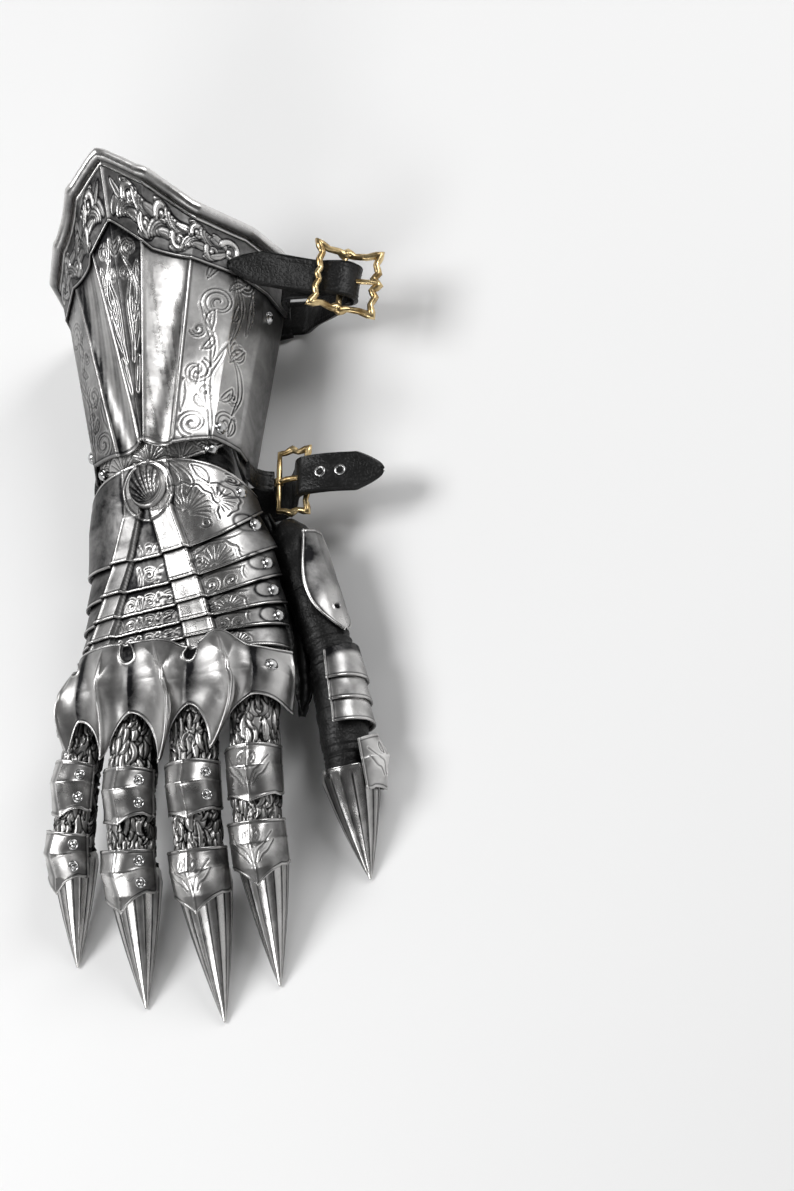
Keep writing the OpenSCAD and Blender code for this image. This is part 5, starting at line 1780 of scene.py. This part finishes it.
def strap(name, matrix, points, width, nodes=(), tips=(0.0, 0.0), thick=STRAP_T):
    """A leather strap along a path in its local x and z, crowned, with pressed edges."""
    line = smooth_path(points)
    run = run_along(line)
    rows = max(int(run[-1] / 0.9), 12)

    def shape(u, v):
        s = v * run[-1]
        x = np.interp(s, run, line[:, 0])
        z = np.interp(s, run, line[:, 1])
        end = np.ones_like(v)
        for tip, away in ((tips[0], s), (tips[1], run[-1] - s)):
            if tip:
                end = np.minimum(end, np.clip(away / tip, 0, 1) ** 0.55)
        half = width / 2 * np.maximum(end, 0.04)
        return stack(x, lerp(-half, half, u), z)

    def relief(face):
        round_edge = -0.5 * np.exp(-face.sides / 0.5)
        pressed = -0.35 * bell(face.sides - 2.4, 0.4)
        stitch = 0.35 * bell(face.sides - 2.4, 0.35) * (np.sin(face.y * math.tau / 3.2) > 0.1)
        soft = 0.25 * np.sin(face.y * 0.21 + 1) * np.sin(face.x * 0.4)
        return round_edge + pressed + stitch + soft, 0.5

    face = Face(place(matrix, shape), 22, rows, False)
    piece = finish_piece(name, skin_mesh(name, face, relief), STRAP, "cuff", nodes)
    add_wall(piece, thick, 0)
    bevel = piece.modifiers.new("edges", "BEVEL")
    bevel.width = 0.4 * MM
    bevel.segments = 2
    bevel.angle_limit = math.radians(60)


def slope_down(p, degrees):
    a = math.radians(degrees)
    return (p[0] * math.cos(a) + p[1] * math.sin(a), p[1] * math.cos(a) - p[0] * math.sin(a))


def make_straps():
    tail = [(-57, 2.6), (-40, 2.8), (-24, 1.9), (-12.5, 1.9), (-6, 4.2), (-1, 5.5)]
    curl = [(3.5, 5), (7, 2.4), (8, -1.5), (6.8, -5.5), (3, -9)]
    run = [slope_down(p, 24) for p in tail + curl]
    low = 1.5 - UPPER_BAR[2]
    run += [(-10, -19), (-24, -29), (-34, low + 1.2), (-40, low), (-50, low)]
    strap("upper_strap_leather", AT_UPPER, run, 18, ["upper_strap"], (16, 0))
    closing = [(52, 1.5), (30, 1.5), (0, 1.5), (-37.2, 1.5), (-43.2, 3.5), (-45.8, 8.5), (-46.2, 20)]
    strap("upper_strap_under", at(0, 161, 0), closing, 18)
    strap("upper_strap_chape_leather", AT_UPPER,
          [(-2.6, -1.8), (-10, -4), (-31, -5), (-34.5, -7), (-36.2, -11), (-36.6, -18)], 12,
          ["upper_strap_chape"], thick=2)
    wall = 39 + STRAP_T / 2 + 2
    path = [(-wall, 44), (-wall, 24), (-wall + 2, 15), (-wall + 9, 7.5), (-18, 4.9), (0, 4.5), (20, 4.8),
            (40, 6.2), (50, 11.5), (55.5, 19), (59, 26), (62, 30.6), (66.5, 32.4), (78, 32), (92, 29),
            (104, 26)]
    strap("wrist_strap_leather", AT_WRIST, path, 20, ["wrist_strap"], (0, 13))
    strap("wrist_strap_chape_leather", AT_WRIST @ at(*WRIST_BAR),
          [(-2.2, 1.2), (-6, 3.4), (-8.4, 7), (-9, 10), (-9, 18)], 10, ["wrist_strap_chape"], thick=2)


make_straps()


EYELET = [(1.7, 0.0), (1.75, 0.7), (2.2, 1.0), (2.8, 0.75), (3.0, 0.1), (2.7, -0.4), (1.7, -0.3)]


def eyelets():
    target = bmesh.new()
    for x, z, slope in ((74, 32.3, 0.03), (84, 31, 0.16)):
        matrix = AT_WRIST @ at(x, 0, z + 1.2) @ turn_about("Y", math.degrees(slope))
        put(target, spun(EYELET, closed=True), matrix)
    solid_piece("strap_eyelets", target, RIVET, "cuff")


eyelets()


def rods(name, matrix, lines, body, nodes, radius=1.5):
    """Cast brass bars swept along closed or open lines, thicker at their cusps."""
    curve = bpy.data.curves.new(name, "CURVE")
    curve.dimensions = "3D"
    curve.bevel_depth = MM
    curve.bevel_resolution = 3
    curve.use_fill_caps = True
    for points, cyclic in lines:
        line = curve.splines.new("POLY")
        line.points.add(len(points) - 1)
        line.use_cyclic_u = cyclic
        for spot, (x, y, z, r) in zip(line.points, points):
            p = matrix @ Vector((x, y, z))
            spot.co = (p.x * MM, p.y * MM, p.z * MM, 1)
            spot.radius = r * radius
    holder = bpy.data.objects.new(name + "_line", curve)
    bpy.context.scene.collection.objects.link(holder)
    bpy.context.view_layer.update()
    mesh = bpy.data.meshes.new_from_object(holder.evaluated_get(bpy.context.evaluated_depsgraph_get()))
    bpy.data.objects.remove(holder)
    finish_piece(name, mesh, GILT, body, nodes)


def frame_loop(outline, heights):
    """A buckle frame's closed line from one half of it, with two more points between each pair."""
    mirrored = [(x, -y, r) for x, y, r in reversed(outline) if y]
    p = np.array([(x, y, np.interp(x, *heights), r) for x, y, r in outline + mirrored])
    return [tuple(a * (1 - t) + b * t) for a, b in zip(p, np.roll(p, -1, axis=0))
            for t in np.linspace(0, 1, 3, endpoint=False)]


# Half of each frame as (x, y, thickness), and the height of its bars over x
UPPER_OUTLINE = [(-12.5, 0, 0.95), (-11.2, 3.2, 0.95), (-12.6, 7.5, 1.0), (-11.4, 11.5, 0.95),
                 (-14.5, 16.8, 1.25), (-8.5, 14.6, 0.95), (-3.5, 15.4, 1.0), (-0.8, 14.2, 1.5),
                 (1.0, 15.8, 1.5), (4.5, 14.4, 0.95), (10.5, 14.8, 1.0), (17.6, 17.0, 1.25),
                 (15.8, 11, 0.95), (17.6, 6.5, 1.1), (15.2, 3.2, 0.95), (18.3, 0, 1.5)]
UPPER_HEIGHTS = ([-14, -12.5, -6, 0, 8, 15.5, 17], [6.9, 6.8, 3.2, 0, 0.5, 1.5, 1.7])
WRIST_OUTLINE = [(0, 15.4, 1.0), (3, 15.6, 0.95), (6.5, 17.3, 1.35), (9.5, 15.5, 0.95), (15, 17.2, 1.3),
                 (13.6, 11, 0.95), (14.6, 6, 1.1), (13.0, 3, 0.95), (15.2, 0, 1.4)]
WRIST_HEIGHTS = ([-1.8, 0, 13, 15], [0, 0, -2, -2.3])


def make_buckles():
    """Frames with flared corners, pinched sides and cusps, and a tongue on each."""
    bar = [(0, y, 0, 0.9) for y in (-15, -8, 0, 8, 15)]
    root = [(0, y, 0.4, 1.55) for y in (-1.5, 0, 1.5)]
    rods("upper_buckle_cast_frame", AT_UPPER_SLOPED,
         [(frame_loop(UPPER_OUTLINE, UPPER_HEIGHTS), True), (bar, False)], "upper_buckle",
         ["upper_buckle_frame"], 1.75)
    tongue = [(1.6, 0, 1.4, 0.95), (5, 0, 2.4, 1.0), (9, 0, 3.4, 0.95), (14, 0, 4.3, 0.85),
              (18, 0, 4.9, 0.5)]
    rods("upper_buckle_prong", AT_UPPER_SLOPED, [(tongue, False), (root, False)], "upper_tongue",
         ["upper_buckle_tongue"])
    rods("wrist_buckle_cast_frame", AT_WRIST_BUCKLE, [(frame_loop(WRIST_OUTLINE, WRIST_HEIGHTS), True)],
         "wrist_buckle", ["wrist_buckle_frame"])
    tongue = [(1.6, 0, 1.2, 0.95), (5, 0, 2.0, 1.0), (9, 0, 2.0, 0.95), (13, 0, 1.4, 0.8), (16, 0, 1.0, 0.5)]
    rods("wrist_buckle_prong", AT_WRIST_BUCKLE, [(tongue, False), (root, False)], "wrist_tongue",
         ["wrist_buckle_tongue"])


make_buckles()


# Floor, light

def make_stage():
    floor_mat, w = material("floor")
    glow = w.spots(3, 2, 0.5)
    w.shader(Base_Color=glow.colour((0.90, 0.90, 0.90), (0.92, 0.92, 0.92)), Roughness=0.55)
    bm = bmesh.new()
    bmesh.ops.create_grid(bm, x_segments=8, y_segments=8, size=3.0)
    bmesh.ops.translate(bm, verts=bm.verts, vec=(0, 0, -0.0002))
    mesh = bpy.data.meshes.new("floor")
    bm.to_mesh(mesh)
    bm.free()
    floor = bpy.data.objects.new("floor", mesh)
    mesh.materials.append(floor_mat)
    bpy.context.scene.collection.objects.link(floor)


def lamp(name, place_at, target, size, power):
    data = bpy.data.lights.new(name, "AREA")
    data.shape = "RECTANGLE"
    data.size, data.size_y = size
    data.energy = power
    made = bpy.data.objects.new(name, data)
    made.location = place_at
    made.rotation_euler = (Vector(target) - Vector(place_at)).to_track_quat("-Z", "Y").to_euler()
    bpy.context.scene.collection.objects.link(made)


def make_light():
    """A pale sky that darkens upward, so that the steel has something dark to show."""
    world = bpy.data.worlds.new("studio")
    world.use_nodes = True
    world.node_tree.nodes.clear()
    w = Wire(world.node_tree)
    up = w.node("SeparateXYZ", None, {0: w.node("TexCoord", out=0)}, out=2)
    shade = up.between(0.1, 0.55)
    tone = shade.colour((0.85, 0.85, 0.85), (0.07, 0.07, 0.07))
    background = w.node("Background", None, {0: tone, 1: 1.0})
    w.node("OutputWorld", None, {0: background})
    bpy.context.scene.world = world
    bpy.context.scene.view_settings.view_transform = "Standard"
    middle = (0.0, 0.0, 0.04)
    lamp("key", (-0.95, 0.25, 1.5), middle, (0.7, 0.9), 20)
    lamp("side", (1.15, 0.75, 1.15), middle, (0.6, 0.9), 13)
    lamp("front", (-0.5, -1.5, 1.0), middle, (1.0, 0.4), 9)


make_stage()
make_light()
